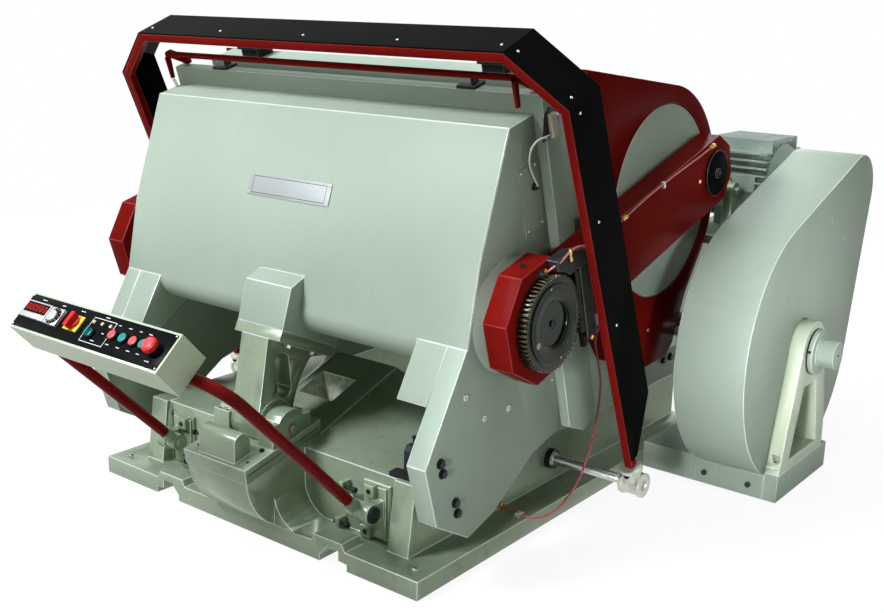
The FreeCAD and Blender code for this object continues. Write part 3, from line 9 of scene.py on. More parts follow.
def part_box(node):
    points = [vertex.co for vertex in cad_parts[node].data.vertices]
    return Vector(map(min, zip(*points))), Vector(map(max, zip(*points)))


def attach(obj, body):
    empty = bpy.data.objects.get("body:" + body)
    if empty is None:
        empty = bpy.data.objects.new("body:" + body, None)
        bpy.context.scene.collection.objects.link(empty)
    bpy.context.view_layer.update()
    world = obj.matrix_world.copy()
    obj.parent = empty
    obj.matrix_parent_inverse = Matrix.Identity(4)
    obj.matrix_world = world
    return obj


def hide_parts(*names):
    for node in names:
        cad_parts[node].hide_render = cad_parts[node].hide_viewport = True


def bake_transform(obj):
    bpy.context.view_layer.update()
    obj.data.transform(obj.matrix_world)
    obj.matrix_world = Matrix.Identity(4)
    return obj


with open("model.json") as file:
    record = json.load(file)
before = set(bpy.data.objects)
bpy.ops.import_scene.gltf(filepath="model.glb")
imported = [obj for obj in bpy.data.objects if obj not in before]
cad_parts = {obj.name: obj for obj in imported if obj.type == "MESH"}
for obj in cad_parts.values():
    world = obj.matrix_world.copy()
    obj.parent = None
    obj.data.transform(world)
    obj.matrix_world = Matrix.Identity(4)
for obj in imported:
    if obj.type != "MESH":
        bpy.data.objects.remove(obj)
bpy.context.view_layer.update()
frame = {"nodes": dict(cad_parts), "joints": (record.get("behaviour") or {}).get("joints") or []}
nodes = frame["nodes"]

# The photograph's width and the camera's focal length in pixels.
FRAME_WIDTH = 884
FOCAL_PIXELS = 1153.15


# Faces of the machine, and its shafts and hinges, in millimetres.
def right_face(node):
    """How far a node reaches to the right of the machine's middle."""
    return round(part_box(node)[1][0] * 1000, 1)


def shaft(joint_name):
    """How far back and how high a joint is."""
    joint = [item for item in frame["joints"] if item["name"] == joint_name][0]
    return tuple(round(place * 1000, 1) for place in joint["pos_m"][1:])


BODY_FACE = right_face("side_frames")
CASTING_FACE = right_face("platen_casting")
GEAR_GUARD_FACE = right_face("gear_guard_right")
PLATE_FACE = right_face("platen_plate")
ARM_FACE = right_face("arm_right")
WHEEL_FACE = right_face("worm_wheel")
GUARD_FACE = right_face("guard_panels")
COVER_FACE = right_face("flywheel_cover")
PEDESTAL_FACE = right_face("outboard_pedestal")
UNION_FACE = right_face("rotary_union")
PIVOT = shaft("platen_swing")
TRUNNION = shaft("arm_right_swing")
CRANK = shaft("crank_turn")
DRIVE = shaft("driveshaft_turn")
MOTOR = shaft("motor_pulley_spin")
GUARD_HINGE = shaft("guard_tilt")
BAR_HINGE = shaft("control_bar_swing")

# Thickness of the side frames, front wall of the base, the guard's top from its hinge, the motor's fan end.
FRAME_THICKNESS = 80
RAIL_FACE = BODY_FACE - FRAME_THICKNESS
WALL_FACE = 654
GUARD_TOP = 1311
MOTOR_END = 470

# How far parts lean in degrees, and where the panel's lower edge and its timer are.
PLATEN_LEAN = 16.6
ARM_LEAN = 16.775
GUARD_LEAN = 22.5
PANEL_TILT = 42.1
PANEL_CORNER = (-1276.57, 646.54)
TIMER_X = -142
TIMER_ALONG = 56


# Surfaces.
def new_material(name):
    material = bpy.data.materials.new(name)
    material.use_nodes = True
    return material, material.node_tree.nodes, material.node_tree.links


def noise(tree_nodes, links, source, scale, detail=4.0, stretch=None):
    texture = tree_nodes.new("ShaderNodeTexNoise")
    texture.inputs["Scale"].default_value = scale
    texture.inputs["Detail"].default_value = detail
    if stretch:
        mapping = tree_nodes.new("ShaderNodeMapping")
        mapping.inputs["Scale"].default_value = stretch
        links.new(source, mapping.inputs["Vector"])
        source = mapping.outputs["Vector"]
    links.new(source, texture.inputs["Vector"])
    return texture.outputs["Fac"]


def spread(tree_nodes, links, value, low, high, start=0.3, end=0.7):
    node = tree_nodes.new("ShaderNodeMapRange")
    node.inputs["From Min"].default_value = start
    node.inputs["From Max"].default_value = end
    node.inputs["To Min"].default_value = low
    node.inputs["To Max"].default_value = high
    links.new(value, node.inputs["Value"])
    return node.outputs["Result"]


def blend_colors(tree_nodes, links, factor, first, second):
    node = tree_nodes.new("ShaderNodeMix")
    node.data_type = "RGBA"
    links.new(factor, node.inputs["Factor"])
    for socket, color in (("A", first), ("B", second)):
        target = [item for item in node.inputs if item.name == socket and item.type == "RGBA"][0]
        if isinstance(color, bpy.types.NodeSocket):
            links.new(color, target)
        else:
            target.default_value = (*color, 1.0)
    return [item for item in node.outputs if item.type == "RGBA"][0]


def finish(
    name, color, tint, rough, metallic=0.0, shine=0.5,
    cloud=4.0, grain=600.0, bump=0.05, stretch=None, grime=None,
):
    """A finish whose colour drifts between color and tint, with fine grain in its gloss and its relief."""
    material, tree_nodes, links = new_material(name)
    shader = tree_nodes["Principled BSDF"]
    shader.inputs["Metallic"].default_value = metallic
    shader.inputs["Specular IOR Level"].default_value = shine
    place = tree_nodes.new("ShaderNodeTexCoord").outputs["Object"]
    cloudy = spread(tree_nodes, links, noise(tree_nodes, links, place, cloud, 5.0), 0.0, 1.0)
    shade = blend_colors(tree_nodes, links, cloudy, color, tint)
    if grime:
        streaks = noise(tree_nodes, links, place, 22.0, 7.0, (1.0, 1.0, 0.35))
        marked = spread(tree_nodes, links, streaks, 0.0, 0.55, 0.56, 0.74)
        shade = blend_colors(tree_nodes, links, marked, shade, grime)
    fine = noise(tree_nodes, links, place, grain, 2.0, stretch)
    links.new(shade, shader.inputs["Base Color"])
    links.new(spread(tree_nodes, links, fine, rough[0], rough[1]), shader.inputs["Roughness"])
    relief = tree_nodes.new("ShaderNodeBump")
    relief.inputs["Strength"].default_value = bump
    relief.inputs["Distance"].default_value = 0.001
    links.new(fine, relief.inputs["Height"])
    links.new(relief.outputs["Normal"], shader.inputs["Normal"])
    return material


# Each finish has its colour, the tint it drifts to and the range of its roughness.
GREEN = finish(
    "silver_green", (0.326, 0.398, 0.304), (0.298, 0.367, 0.276), rough=(0.40, 0.50),
    metallic=0.03, shine=0.07, cloud=3.0, grain=900.0, bump=0.03, grime=(0.290, 0.359, 0.267),
)
# Lighter copy of the silver green for rounded edges: a painted edge highlight.
GREEN_EDGE_HIGHLIGHT = finish(
    "silver_green_edge_highlight", (0.70, 0.76, 0.68), (0.58, 0.65, 0.56), rough=(0.24, 0.34),
    metallic=0.20, cloud=30.0, grain=500.0, bump=0.03,
)
CAST_GREEN = finish(
    "cast_green", (0.288, 0.358, 0.244), (0.224, 0.287, 0.184), rough=(0.22, 0.30),
    metallic=0.30, shine=0.3, cloud=5.0, grain=900.0, bump=0.02, grime=(0.160, 0.213, 0.124),
)
# Lighter copy of the cast green for rounded edges: a painted edge highlight.
CAST_EDGE_HIGHLIGHT = finish(
    "cast_green_edge_highlight", (0.64, 0.71, 0.62), (0.52, 0.59, 0.50), rough=(0.20, 0.30),
    metallic=0.30, cloud=30.0, grain=400.0,
)
# Rough casting of the deck's pocket, its colour lightened as painted light against the shade under the
# platen.
ROUGH_CAST_PAINTED_LIGHT = finish(
    "rough_casting", (0.84, 0.87, 0.74), (0.42, 0.48, 0.36), rough=(0.55, 0.75),
    metallic=0.10, shine=0.3, cloud=45.0, grain=120.0, bump=0.9,
)
RED = finish(
    "maroon", (0.168, 0.0070, 0.0045), (0.124, 0.0048, 0.0035), rough=(0.16, 0.26),
    shine=0.005, cloud=5.0, grain=500.0, bump=0.03,
)
# Lighter copy of the maroon for rounded edges: a painted edge highlight.
RED_EDGE_HIGHLIGHT = finish(
    "maroon_edge_highlight", (0.26, 0.022, 0.017), (0.19, 0.014, 0.012), rough=(0.24, 0.34),
    shine=0.15, cloud=30.0, grain=500.0, bump=0.03,
)
RED_GLOSS = finish(
    "maroon_gloss", (0.185, 0.0075, 0.005), (0.140, 0.005, 0.004), rough=(0.05, 0.08),
    shine=0.035, cloud=5.0, grain=500.0, bump=0.02,
)
BLACK = finish(
    "black_gloss", (0.0028, 0.0034, 0.0028), (0.0045, 0.0050, 0.0042), rough=(0.05, 0.10),
    shine=0.004, grain=400.0, bump=0.01,
)
# Grey copy of the blacks for rounded edges: a painted edge highlight.
BLACK_EDGE_HIGHLIGHT = finish(
    "black_edge_highlight", (0.10, 0.11, 0.10), (0.05, 0.055, 0.05), rough=(0.25, 0.35),
    metallic=0.5, shine=0.3, cloud=40.0, grain=400.0, bump=0.02,
)
BLACK_SATIN = finish(
    "black_satin", (0.012, 0.014, 0.013), (0.020, 0.023, 0.021), rough=(0.34, 0.48),
    shine=0.10, cloud=30.0, grain=700.0, bump=0.10,
)
BLACK_BOLT = finish(
    "black_bolt", (0.010, 0.011, 0.010), (0.022, 0.024, 0.022), rough=(0.26, 0.40),
    metallic=0.2, shine=0.18, cloud=80.0, grain=900.0,
)
DARK_STEEL = finish(
    "dark_steel", (0.020, 0.026, 0.019), (0.011, 0.014, 0.010), rough=(0.15, 0.25),
    metallic=0.85, shine=0.2, cloud=20.0, bump=0.02,
)
# Golden tone for the wheel's teeth and dark steel's edges: a painted highlight.
TOOTH_HIGHLIGHT = finish(
    "tooth_flank_highlight", (0.085, 0.075, 0.045), (0.035, 0.033, 0.022), rough=(0.20, 0.34),
    metallic=0.95, shine=0.4, cloud=60.0, grain=400.0,
)
STEEL = finish(
    "bright_steel", (0.52, 0.53, 0.50), (0.43, 0.44, 0.41), rough=(0.22, 0.34),
    metallic=1.0, cloud=10.0, grain=160.0, bump=0.02, stretch=(0.05, 1.0, 1.0),
)
GROUND_STEEL = finish(
    "ground_steel", (0.44, 0.45, 0.43), (0.39, 0.40, 0.38), rough=(0.26, 0.34),
    metallic=0.95, cloud=6.0, grain=900.0, bump=0.01,
)
GALVANISED = finish(
    "galvanised", (0.62, 0.64, 0.54), (0.48, 0.51, 0.42), rough=(0.28, 0.46),
    metallic=0.80, cloud=60.0, grain=180.0, bump=0.10,
)
ALUMINIUM = finish(
    "motor_grey", (0.265, 0.335, 0.270), (0.215, 0.278, 0.220), rough=(0.34, 0.48),
    metallic=0.25, shine=0.3, cloud=18.0, grain=260.0, bump=0.10,
)
BRASS = finish(
    "brass", (0.62, 0.42, 0.12), (0.46, 0.30, 0.08), rough=(0.18, 0.32),
    metallic=1.0, cloud=60.0, grain=400.0,
)
PLATE = finish(
    "bare_plate", (0.34, 0.37, 0.34), (0.29, 0.315, 0.29), rough=(0.46, 0.54),
    metallic=0.12, shine=0.3, cloud=8.0, grain=300.0, bump=0.01, stretch=(0.10, 1.0, 1.0),
)
BRONZE = finish(
    "dull_bronze", (0.30, 0.26, 0.17), (0.22, 0.19, 0.12), rough=(0.28, 0.40),
    metallic=0.6, shine=0.4, cloud=60.0, grain=400.0,
)
# Lighter copy of the green for the panel box and the pedestal: painted light where these parts are better
# lit.
PANEL_GREEN_PAINTED_LIGHT = finish(
    "panel_green_painted_light", (0.49, 0.570, 0.39), (0.45, 0.525, 0.358), rough=(0.36, 0.46),
    metallic=0.08, shine=0.2, cloud=6.0, grain=900.0, bump=0.03,
)
WOOD = finish(
    "die_plywood", (0.46, 0.30, 0.15), (0.36, 0.22, 0.10), rough=(0.50, 0.65),
    shine=0.3, cloud=14.0, grain=60.0, bump=0.2, stretch=(0.12, 1.0, 1.0),
)
BEIGE = finish(
    "beige_plastic", (0.62, 0.56, 0.42), (0.54, 0.48, 0.36), rough=(0.42, 0.54),
    shine=0.4, cloud=40.0, grain=900.0,
)
CABLE = finish(
    "white_cable", (0.78, 0.75, 0.66), (0.68, 0.64, 0.55), rough=(0.36, 0.46),
    shine=0.4, cloud=60.0, grain=900.0, bump=0.03,
)
TUBE = finish(
    "red_tube", (0.50, 0.085, 0.095), (0.42, 0.060, 0.070), rough=(0.24, 0.34),
    shine=0.4, cloud=60.0, grain=700.0, bump=0.03,
)
PINK_PIPE = finish(
    "lube_pipe", (0.52, 0.17, 0.16), (0.40, 0.11, 0.10), rough=(0.24, 0.36),
    metallic=0.1, shine=0.4, cloud=60.0, grain=700.0, bump=0.03,
)
PANEL_BLACK = finish(
    "panel_black", (0.0040, 0.0048, 0.0046), (0.0065, 0.0075, 0.0072), rough=(0.22, 0.32),
    shine=0.02, cloud=40.0, grain=900.0, bump=0.04,
)
WHITE = finish(
    "white_print", (0.80, 0.82, 0.80), (0.70, 0.72, 0.70), rough=(0.40, 0.50),
    shine=0.3, cloud=40.0, grain=900.0, bump=0.02,
)
SILVER = finish(
    "silver_plastic", (0.52, 0.54, 0.52), (0.44, 0.46, 0.44), rough=(0.30, 0.40),
    metallic=0.2, shine=0.4, cloud=40.0, grain=900.0, bump=0.03,
)
WINDOW = finish(
    "display_window", (0.016, 0.004, 0.004), (0.024, 0.005, 0.005), rough=(0.08, 0.14),
    shine=0.03, cloud=60.0, grain=900.0, bump=0.01,
)
DIGIT = finish(
    "display_digit", (0.88, 0.03, 0.02), (0.80, 0.025, 0.015), rough=(0.30, 0.40),
    shine=0.05, cloud=60.0, grain=900.0, bump=0.01,
)
YELLOW = finish(
    "yellow_plate", (0.86, 0.64, 0.02), (0.78, 0.56, 0.018), rough=(0.28, 0.38),
    shine=0.4, cloud=40.0, grain=900.0, bump=0.02,
)
AMBER = finish(
    "amber_lamp", (0.78, 0.48, 0.16), (0.70, 0.60, 0.42), rough=(0.16, 0.26),
    cloud=300.0, grain=900.0, bump=0.01,
)
RED_CAP = finish(
    "red_cap", (0.72, 0.022, 0.014), (0.64, 0.016, 0.011), rough=(0.20, 0.30),
    shine=0.15, cloud=60.0, grain=800.0, bump=0.02,
)
# Rose for two push buttons, and a painted highlight on the stop button's crown.
ROSE_CAP_AND_HIGHLIGHT = finish(
    "rose_cap", (0.62, 0.10, 0.115), (0.55, 0.08, 0.09), rough=(0.22, 0.32),
    shine=0.15, cloud=60.0, grain=800.0, bump=0.02,
)
GREEN_CAP = finish(
    "green_cap", (0.020, 0.29, 0.235), (0.016, 0.24, 0.19), rough=(0.20, 0.30),
    shine=0.12, cloud=60.0, grain=800.0, bump=0.02,
)

LOOKS = {
    GREEN: (
        "platen_casting front_cover platen_plate bed flywheel_cover crank_gear_right crank_gear_left "
        "side_frames rotary_union flywheel_base"
    ),
    CAST_GREEN: "base_casting saddle_plate pivot_caps center_link bar_brackets motor_mount",
    PANEL_GREEN_PAINTED_LIGHT: "panel_box outboard_pedestal",
    ALUMINIUM: "motor",
    RED: "gear_guard_right gear_guard_left arm_right arm_left guard_frame trip_bar",
    RED_GLOSS: "control_tube",
    BLACK: "guard_panels arm_cap_right arm_cap_left",
    BLACK_SATIN: "worm_housing block_bolts chase_locks feed_fingers",
    DARK_STEEL: "worm_wheel worm",
    STEEL: "crank_shaft lay_shaft drive_shaft trunnions guard_shafts link_bolts flywheel motor_pulley",
    GROUND_STEEL: "cutting_plate die_chase",
    GALVANISED: "guard_tees",
    PLATE: "name_plate",
    WOOD: "die_board",
    BEIGE: "limit_switch",
    CABLE: "sensor_cable",
    TUBE: "oil_tube",
    PANEL_BLACK: "panel_face",
    SILVER: "timer_knob",
    RED_CAP: "stop_button isolator_handle",
    ROSE_CAP_AND_HIGHLIGHT: "push_button_1 push_button_3",
    GREEN_CAP: "push_button_2 push_button_4 selector_knob",
}
# Rounded edges take a lighter copy of each finish. This is a painted highlight where edges catch the light,
# and partly paint worn thin. Dark steel's edges take the golden tooth colour as a painted highlight.
EDGE_HIGHLIGHTS = {
    GREEN: GREEN_EDGE_HIGHLIGHT,
    PANEL_GREEN_PAINTED_LIGHT: GREEN_EDGE_HIGHLIGHT,
    ALUMINIUM: GREEN_EDGE_HIGHLIGHT,
    CAST_GREEN: CAST_EDGE_HIGHLIGHT,
    RED: RED_EDGE_HIGHLIGHT,
    BLACK: BLACK_EDGE_HIGHLIGHT,
    BLACK_SATIN: BLACK_EDGE_HIGHLIGHT,
    DARK_STEEL: TOOTH_HIGHLIGHT,
}
for look, names in LOOKS.items():
    for name in names.split():
        mesh = nodes[name].data
        mesh.materials.clear()
        mesh.materials.append(look)
        mesh.materials.append(EDGE_HIGHLIGHTS.get(look, look))
        for polygon in mesh.polygons:
            polygon.use_smooth = True


# Rounded edges on the frame's own solids.
def weld(item):
    """Joins the points of faces that meet."""
    modifier = item.modifiers.new("weld", "WELD")
    modifier.merge_threshold = 0.00002


def round_edges(name, width, segments=2):
    item = nodes[name]
    weld(item)
    bevel = item.modifiers.new("bevel", "BEVEL")
    bevel.width = width
    bevel.segments = segments
    bevel.limit_method = "ANGLE"
    bevel.angle_limit = math.radians(32)
    bevel.use_clamp_overlap = False
    bevel.loop_slide = False
    bevel.harden_normals = True
    # The bevel's faces take the second slot, the lighter edge copy, as a painted highlight.
    bevel.material = 1


# Widths of the rounded edges in metres.
SOFT_EDGES = {
    0.0020: (
        "base_casting saddle_plate outboard_pedestal platen_casting bed arm_right arm_left "
        "chase_locks front_cover flywheel_cover guard_frame side_frames"
    ),
    0.0013: (
        "center_link flywheel_base platen_plate pivot_caps bar_brackets motor_mount gear_guard_right "
        "gear_guard_left worm_housing arm_cap_right arm_cap_left trunnions rotary_union "
        "crank_gear_right crank_gear_left"
    ),
    0.0007: (
        "panel_box guard_tees panel_face limit_switch name_plate feed_fingers trip_bar guard_shafts "
        "link_bolts block_bolts worm_wheel push_button_1 push_button_2 push_button_3 push_button_4 "
        "isolator_handle timer_knob"
    ),
    0.0004: "selector_knob",
}
for width, names in SOFT_EDGES.items():
    for name in names.split():
        round_edges(name, width)
round_edges("stop_button", 0.003, 4)
# The lay shaft runs free in its bores.
weld(nodes["lay_shaft"])
slack = nodes["lay_shaft"].modifiers.new("slack", "DISPLACE")
slack.strength = -0.0004
slack.mid_level = 0.0


# Places in millimetres on a part's own axes: across the machine, along the part and up from it.
def axes(start, lean):
    start_y, start_z = start
    cosine = math.cos(math.radians(lean))
    sine = math.sin(math.radians(lean))

    def place(x, along, up):
        y = start_y + along * cosine - up * sine
        z = start_z + along * sine + up * cosine
        return Vector((x, y, z)) / 1000

    return place


on_machine = axes((0.0, 0.0), 0.0)
on_platen = axes(PIVOT, PLATEN_LEAN)
on_arm = axes(TRUNNION, ARM_LEAN)
on_guard = axes(GUARD_HINGE, GUARD_LEAN)
on_panel = axes(PANEL_CORNER, PANEL_TILT)
RIGHT = (1, 0, 0)
LEFT = (-1, 0, 0)
BACK = (0, 1, 0)
FRONT = (0, -1, 0)
UP = (0, 0, 1)


# Solids of more than one colour.
def paint(name, look, chosen):
    """Gives the faces of a solid that chosen() picks by their middle, in millimetres, another look."""
    mesh = nodes[name].data
    mesh.materials.append(look)
    index = len(mesh.materials) - 1
    for polygon in mesh.polygons:
        if chosen(polygon.center * 1000):
            polygon.material_index = index


def distance_from(middle, shaft):
    return math.hypot(middle.y - shaft[0], middle.z - shaft[1])


def in_panel_box(middle, left, right, low, high):
    """True for a spot on an instrument that stands out of the panel's face within these limits."""
    turn = math.radians(PANEL_TILT)
    depth = middle.y - PANEL_CORNER[0]
    height = middle.z - PANEL_CORNER[1]
    along = depth * math.cos(turn) + height * math.sin(turn)
    out = height * math.cos(turn) - depth * math.sin(turn)
    return left < middle.x < right and low < along < high and out > 2.5


def in_deck_pocket(middle):
    """True for a spot in the pocket where the deck's casting is left rough."""
    return -96.5 < middle.x < 40.5 and -464.5 < middle.y < -358.5 and 185 < middle.z < 390


FLANGE_END = 692
SHAFT_RADIUS = 21
SOCKET_RADIUS = 62
TOOTH_ROOT = 117
paint("trunnions", GREEN, lambda middle: abs(middle.x) < FLANGE_END)
paint("guard_shafts", BLACK_SATIN, lambda middle: distance_from(middle, GUARD_HINGE) > SHAFT_RADIUS)
paint("control_tube", CAST_GREEN, lambda middle: distance_from(middle, BAR_HINGE) < SOCKET_RADIUS)
# The wheel's teeth take the golden tone as a painted highlight.
paint("worm_wheel", TOOTH_HIGHLIGHT, lambda middle: distance_from(middle, TRUNNION) > TOOTH_ROOT)
# The pocket's rough casting is lightened as painted light.
paint("base_casting", ROUGH_CAST_PAINTED_LIGHT, in_deck_pocket)
paint("panel_face", SILVER, lambda middle: in_panel_box(middle, -273, -115, 31, 83))
paint("panel_face", YELLOW, lambda middle: in_panel_box(middle, -92, -37, 33, 79))
paint("panel_face", AMBER, lambda middle: in_panel_box(middle, -8, 66, 68, 80))


# Fittings are gathered into meshes, one for each material on each body.
def direction(place, axis):
    return (place(*axis) - place(0, 0, 0)).normalized()


def circle(bm, middle, side, across, radius, sides):
    """Points round a middle in metres, at a radius in millimetres."""
    ring = []
    for step in range(sides):
        angle = 2 * math.pi * step / sides
        reach = side * math.cos(angle) + across * math.sin(angle)
        ring.append(bm.verts.new(middle + reach * radius / 1000))
    return ring


def close_rings(bm, rings):
    """Walls from ring to ring, and a face on each end."""
    for low, high in zip(rings, rings[1:]):
        for step in range(len(low)):
            following = (step + 1) % len(low)
            bm.faces.new((low[step], low[following], high[following], high[step]))
    bm.faces.new(rings[0])
    bm.faces.new(rings[-1])


def turned(bm, place, spot, axis, profile, sides=24):
    """A turned solid from (radius, distance along the axis) pairs."""
    ahead = direction(place, axis)
    side = ahead.orthogonal().normalized()
    across = ahead.cross(side)
    rings = []
    for radius, distance in profile:
        middle = place(*spot) + ahead * distance / 1000
        rings.append(circle(bm, middle, side, across, radius, sides if radius else 1))
    for low, high in zip(rings, rings[1:]):
        for step in range(sides):
            corners = [
                low[step % len(low)],
                low[(step + 1) % len(low)],
                high[(step + 1) % len(high)],
                high[step % len(high)],
            ]
            bm.faces.new(list(dict.fromkeys(corners)))


def slab(bm, place, corners, axis, low, high, chamfer=1.0):
    """A flat piece with chamfered front: corners carried along the axis from low to high."""
    ahead = direction(place, axis) / 1000
    outline = [place(*corner) for corner in corners]
    middle = sum(outline, Vector()) / len(outline)
    rings = []
    for inset, level in ((0.0, low), (0.0, high - chamfer), (chamfer * 1.4, high)):
        ring = []
        for corner in outline:
            inward = (middle - corner).normalized() * inset / 1000
            ring.append(bm.verts.new(corner + inward + ahead * level))
        rings.append(ring)
    close_rings(bm, rings)


def box(bm, place, low, high, chamfer=1.0, axis=UP):
    """A chamfered block between two corners, its chamfer on the side the axis points to."""
    along = [index for index in range(3) if axis[index]][0]
    first, second = [index for index in range(3) if index != along]
    corners = []
    for pick_first, pick_second in ((low, low), (high, low), (high, high), (low, high)):
        corner = [0.0, 0.0, 0.0]
        corner[first] = pick_first[first]
        corner[second] = pick_second[second]
        corners.append(corner)
    slab(bm, place, corners, axis, low[along], high[along], chamfer)


def smooth_line(points, steps=6):
    """Points on a smooth line through the given ones."""
    line = []
    for index in range(len(points) - 1):
        before = points[max(index - 1, 0)]
        start = points[index]
        end = points[index + 1]
        after = points[min(index + 2, len(points) - 1)]
        for step in range(steps):
            share = step / steps
            line.append(0.5 * (
                2 * start + (end - before) * share + (2 * before - 5 * start + 4 * end - after) * share ** 2
                + (3 * start - before - 3 * end + after) * share ** 3
            ))
    return line + [points[-1]]


def sweep(bm, line, radius, sides=10):
    """A round bar along a line of points in metres."""
    rings = []
    side = (line[1] - line[0]).orthogonal().normalized()
    for index, point in enumerate(line):
        ahead = (line[min(index + 1, len(line) - 1)] - line[max(index - 1, 0)]).normalized()
        side = (side - ahead * side.dot(ahead)).normalized()
        rings.append(circle(bm, point, side, ahead.cross(side), radius, sides))
    close_rings(bm, rings)


# Screw heads as turned profiles, in shares of the head's radius.
WASHER = ((0, 0), (1.2, 0), (1.2, 0.2), (0, 0.2))
HEX_HEAD = ((0, 0.2), (1, 0.2), (1, 0.75), (0.84, 0.9), (0, 0.9))
SOCKET_HEAD = ((0, 0), (1, 0), (1, 0.75), (0.9, 0.9), (0.55, 0.9), (0.5, 0.45), (0, 0.4))
DOME_HEAD = ((0, 0), (1, 0), (0.96, 0.25), (0.75, 0.5), (0.4, 0.64), (0, 0.68))


def scaled(profile, size):
    return [(radius * size, distance * size) for radius, distance in profile]


def hex_bolt(bm, place, spot, axis, size):
    turned(bm, place, spot, axis, scaled(WASHER, size))
    turned(bm, place, spot, axis, scaled(HEX_HEAD, size), 6)


def socket_screw(bm, place, spot, axis, size):
    turned(bm, place, spot, axis, scaled(SOCKET_HEAD, size))


def dome_screw(bm, place, spot, axis, size):
    turned(bm, place, spot, axis, scaled(DOME_HEAD, size), 16)


def put(bm, name, body, look):
    """Makes the mesh a piece that rides on a body."""
    bmesh.ops.recalc_face_normals(bm, faces=bm.faces)
    mesh = bpy.data.meshes.new(name)
    bm.to_mesh(mesh)
    bm.free()
    mesh.materials.append(look)
    for polygon in mesh.polygons:
        polygon.use_smooth = True
    mesh.set_sharp_from_angle(angle=math.radians(34))
    item = bpy.data.objects.new(name, mesh)
    bpy.context.scene.collection.objects.link(item)
    if body:
        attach(item, body)
    return item


# Safety guard: screws that hold the black sheet to the bent bar, and set screws in each tee.
def guard_fittings():
    middle = 24
    size = 4
    screws = bmesh.new()
    for x in (-645, -341, -10, 322, 644):
        dome_screw(screws, on_guard, (x, middle, GUARD_TOP), UP, size)
    for side in (1, -1):
        outward = (side * 0.654, 0, 0.756)
        for x, up in ((813.5, 1188.1), (687.9, 1296.7)):
            dome_screw(screws, on_guard, (side * x, middle, up), outward, size)
        for up in (1149, 854, 541):
            dome_screw(screws, on_guard, (side * GUARD_FACE, middle, up), (side, 0, 0), size)
    put(screws, "guard_screws", "guard", STEEL)
    sets = bmesh.new()
    for side in (1, -1):
        socket_screw(sets, on_guard, (side * (GUARD_FACE - 16.5), -25, 48), FRONT, 8)
        top = (side * (GUARD_FACE + 2), GUARD_HINGE[0], GUARD_HINGE[1] + 31)
        socket_screw(sets, on_machine, top, UP, 7)
    put(sets, "tee_set_screws", "guard", BLACK_BOLT)


def name_plate_spot(x, share, ahead, up):
    """A spot before the name plate, a share of its height down from its upper edge."""
    return x, -553 - 19.8 * share - ahead, 966.2 - 59 * share + up


# Platen: access plates, plugs, leg bolts, trunnion covers, cable gland and switch plate.
# The name plate has a border and rivets.
def platen_fittings():
    plates = bmesh.new()
    bright = bmesh.new()
    black = bmesh.new()
    covers = bmesh.new()
    plug = [(0, -1), (9.5, -1), (9.5, 2.2), (8.2, 3.4), (3.6, 3.4), (3.2, 1.4), (0, 1.2)]
    cover = [
        (0, -1), (57, -1), (57, 2), (55.5, 3.2), (16, 3.2),
        (14, 1.4), (9, 1.4), (9, 5.5), (7.5, 6.5), (0, 6.5),
    ]
    for side in (1, -1):
        outward = (side, 0, 0)
        face = side * CASTING_FACE
        corners = [(0, 450, 450), (0, 537, 450), (0, 537, 630), (0, 450, 630)]
        slab(plates, on_platen, corners, outward, CASTING_FACE - 1, CASTING_FACE + 2.5, 1.2)
        for along, up in ((462, 461), (525, 461), (462, 619), (525, 619)):
            dome_screw(bright, on_platen, (side * (CASTING_FACE + 2.3), along, up), outward, 4.5)
        for y, z in ((-640, 509), (-453, 431), (-558, 433)):
            turned(bright, on_machine, (face, y, z), outward, plug)
        dome_screw(bright, on_machine, (face, -245, 456), outward, 5)
        for y, z in ((-734, 365), (-725, 336), (-670, 241), (-661, 210)):
            hex_bolt(black, on_machine, (face, y, z), outward, 11.5)
        turned(covers, on_machine, (side * (ARM_FACE + 22), *TRUNNION), outward, cover, 48)
    gland = [(0, -1), (11, -1), (11, 2.5), (8.5, 3), (8.5, 9), (6.5, 13), (3.2, 14.5), (0, 14.5)]
    turned(black, on_machine, (CASTING_FACE, -376, 1000), RIGHT, gland)
    corners = [(0, -385, 1112), (0, -327, 1131), (0, -318, 1192), (0, -366, 1201), (0, -385, 1180)]
    slab(black, on_machine, corners, RIGHT, PLATE_FACE - 1, PLATE_FACE + 2.5)
    for y, z in ((-374, 1124), (-330, 1180)):
        dome_screw(bright, on_machine, (PLATE_FACE + 2.3, y, z), RIGHT, 4)
    top = 0.12
    foot = 0.88
    for x in (-173, 128):
        for share in (top, foot):
            spot = name_plate_spot(x, share, 2.2, 0.8)
            dome_screw(bright, on_machine, spot, (0, -0.948, 0.318), 3.6)
    border = bmesh.new()
    corners = []
    for x, share in ((-163, top), (118, top), (118, foot), (-163, foot), (-163, top)):
        corners.append(on_machine(*name_plate_spot(x, share, 2.0, 0.7)))
    for start, end in zip(corners, corners[1:]):
        sweep(border, [start, end], 0.9, 6)
    put(border, "name_plate_border", "platen", BLACK_SATIN)
    put(covers, "trunnion_covers", "platen", DARK_STEEL)
    put(plates, "access_plates", "platen", GREEN)
    put(bright, "platen_bright_screws", "platen", STEEL)
    put(black, "platen_black_fittings", "platen", BLACK_BOLT)


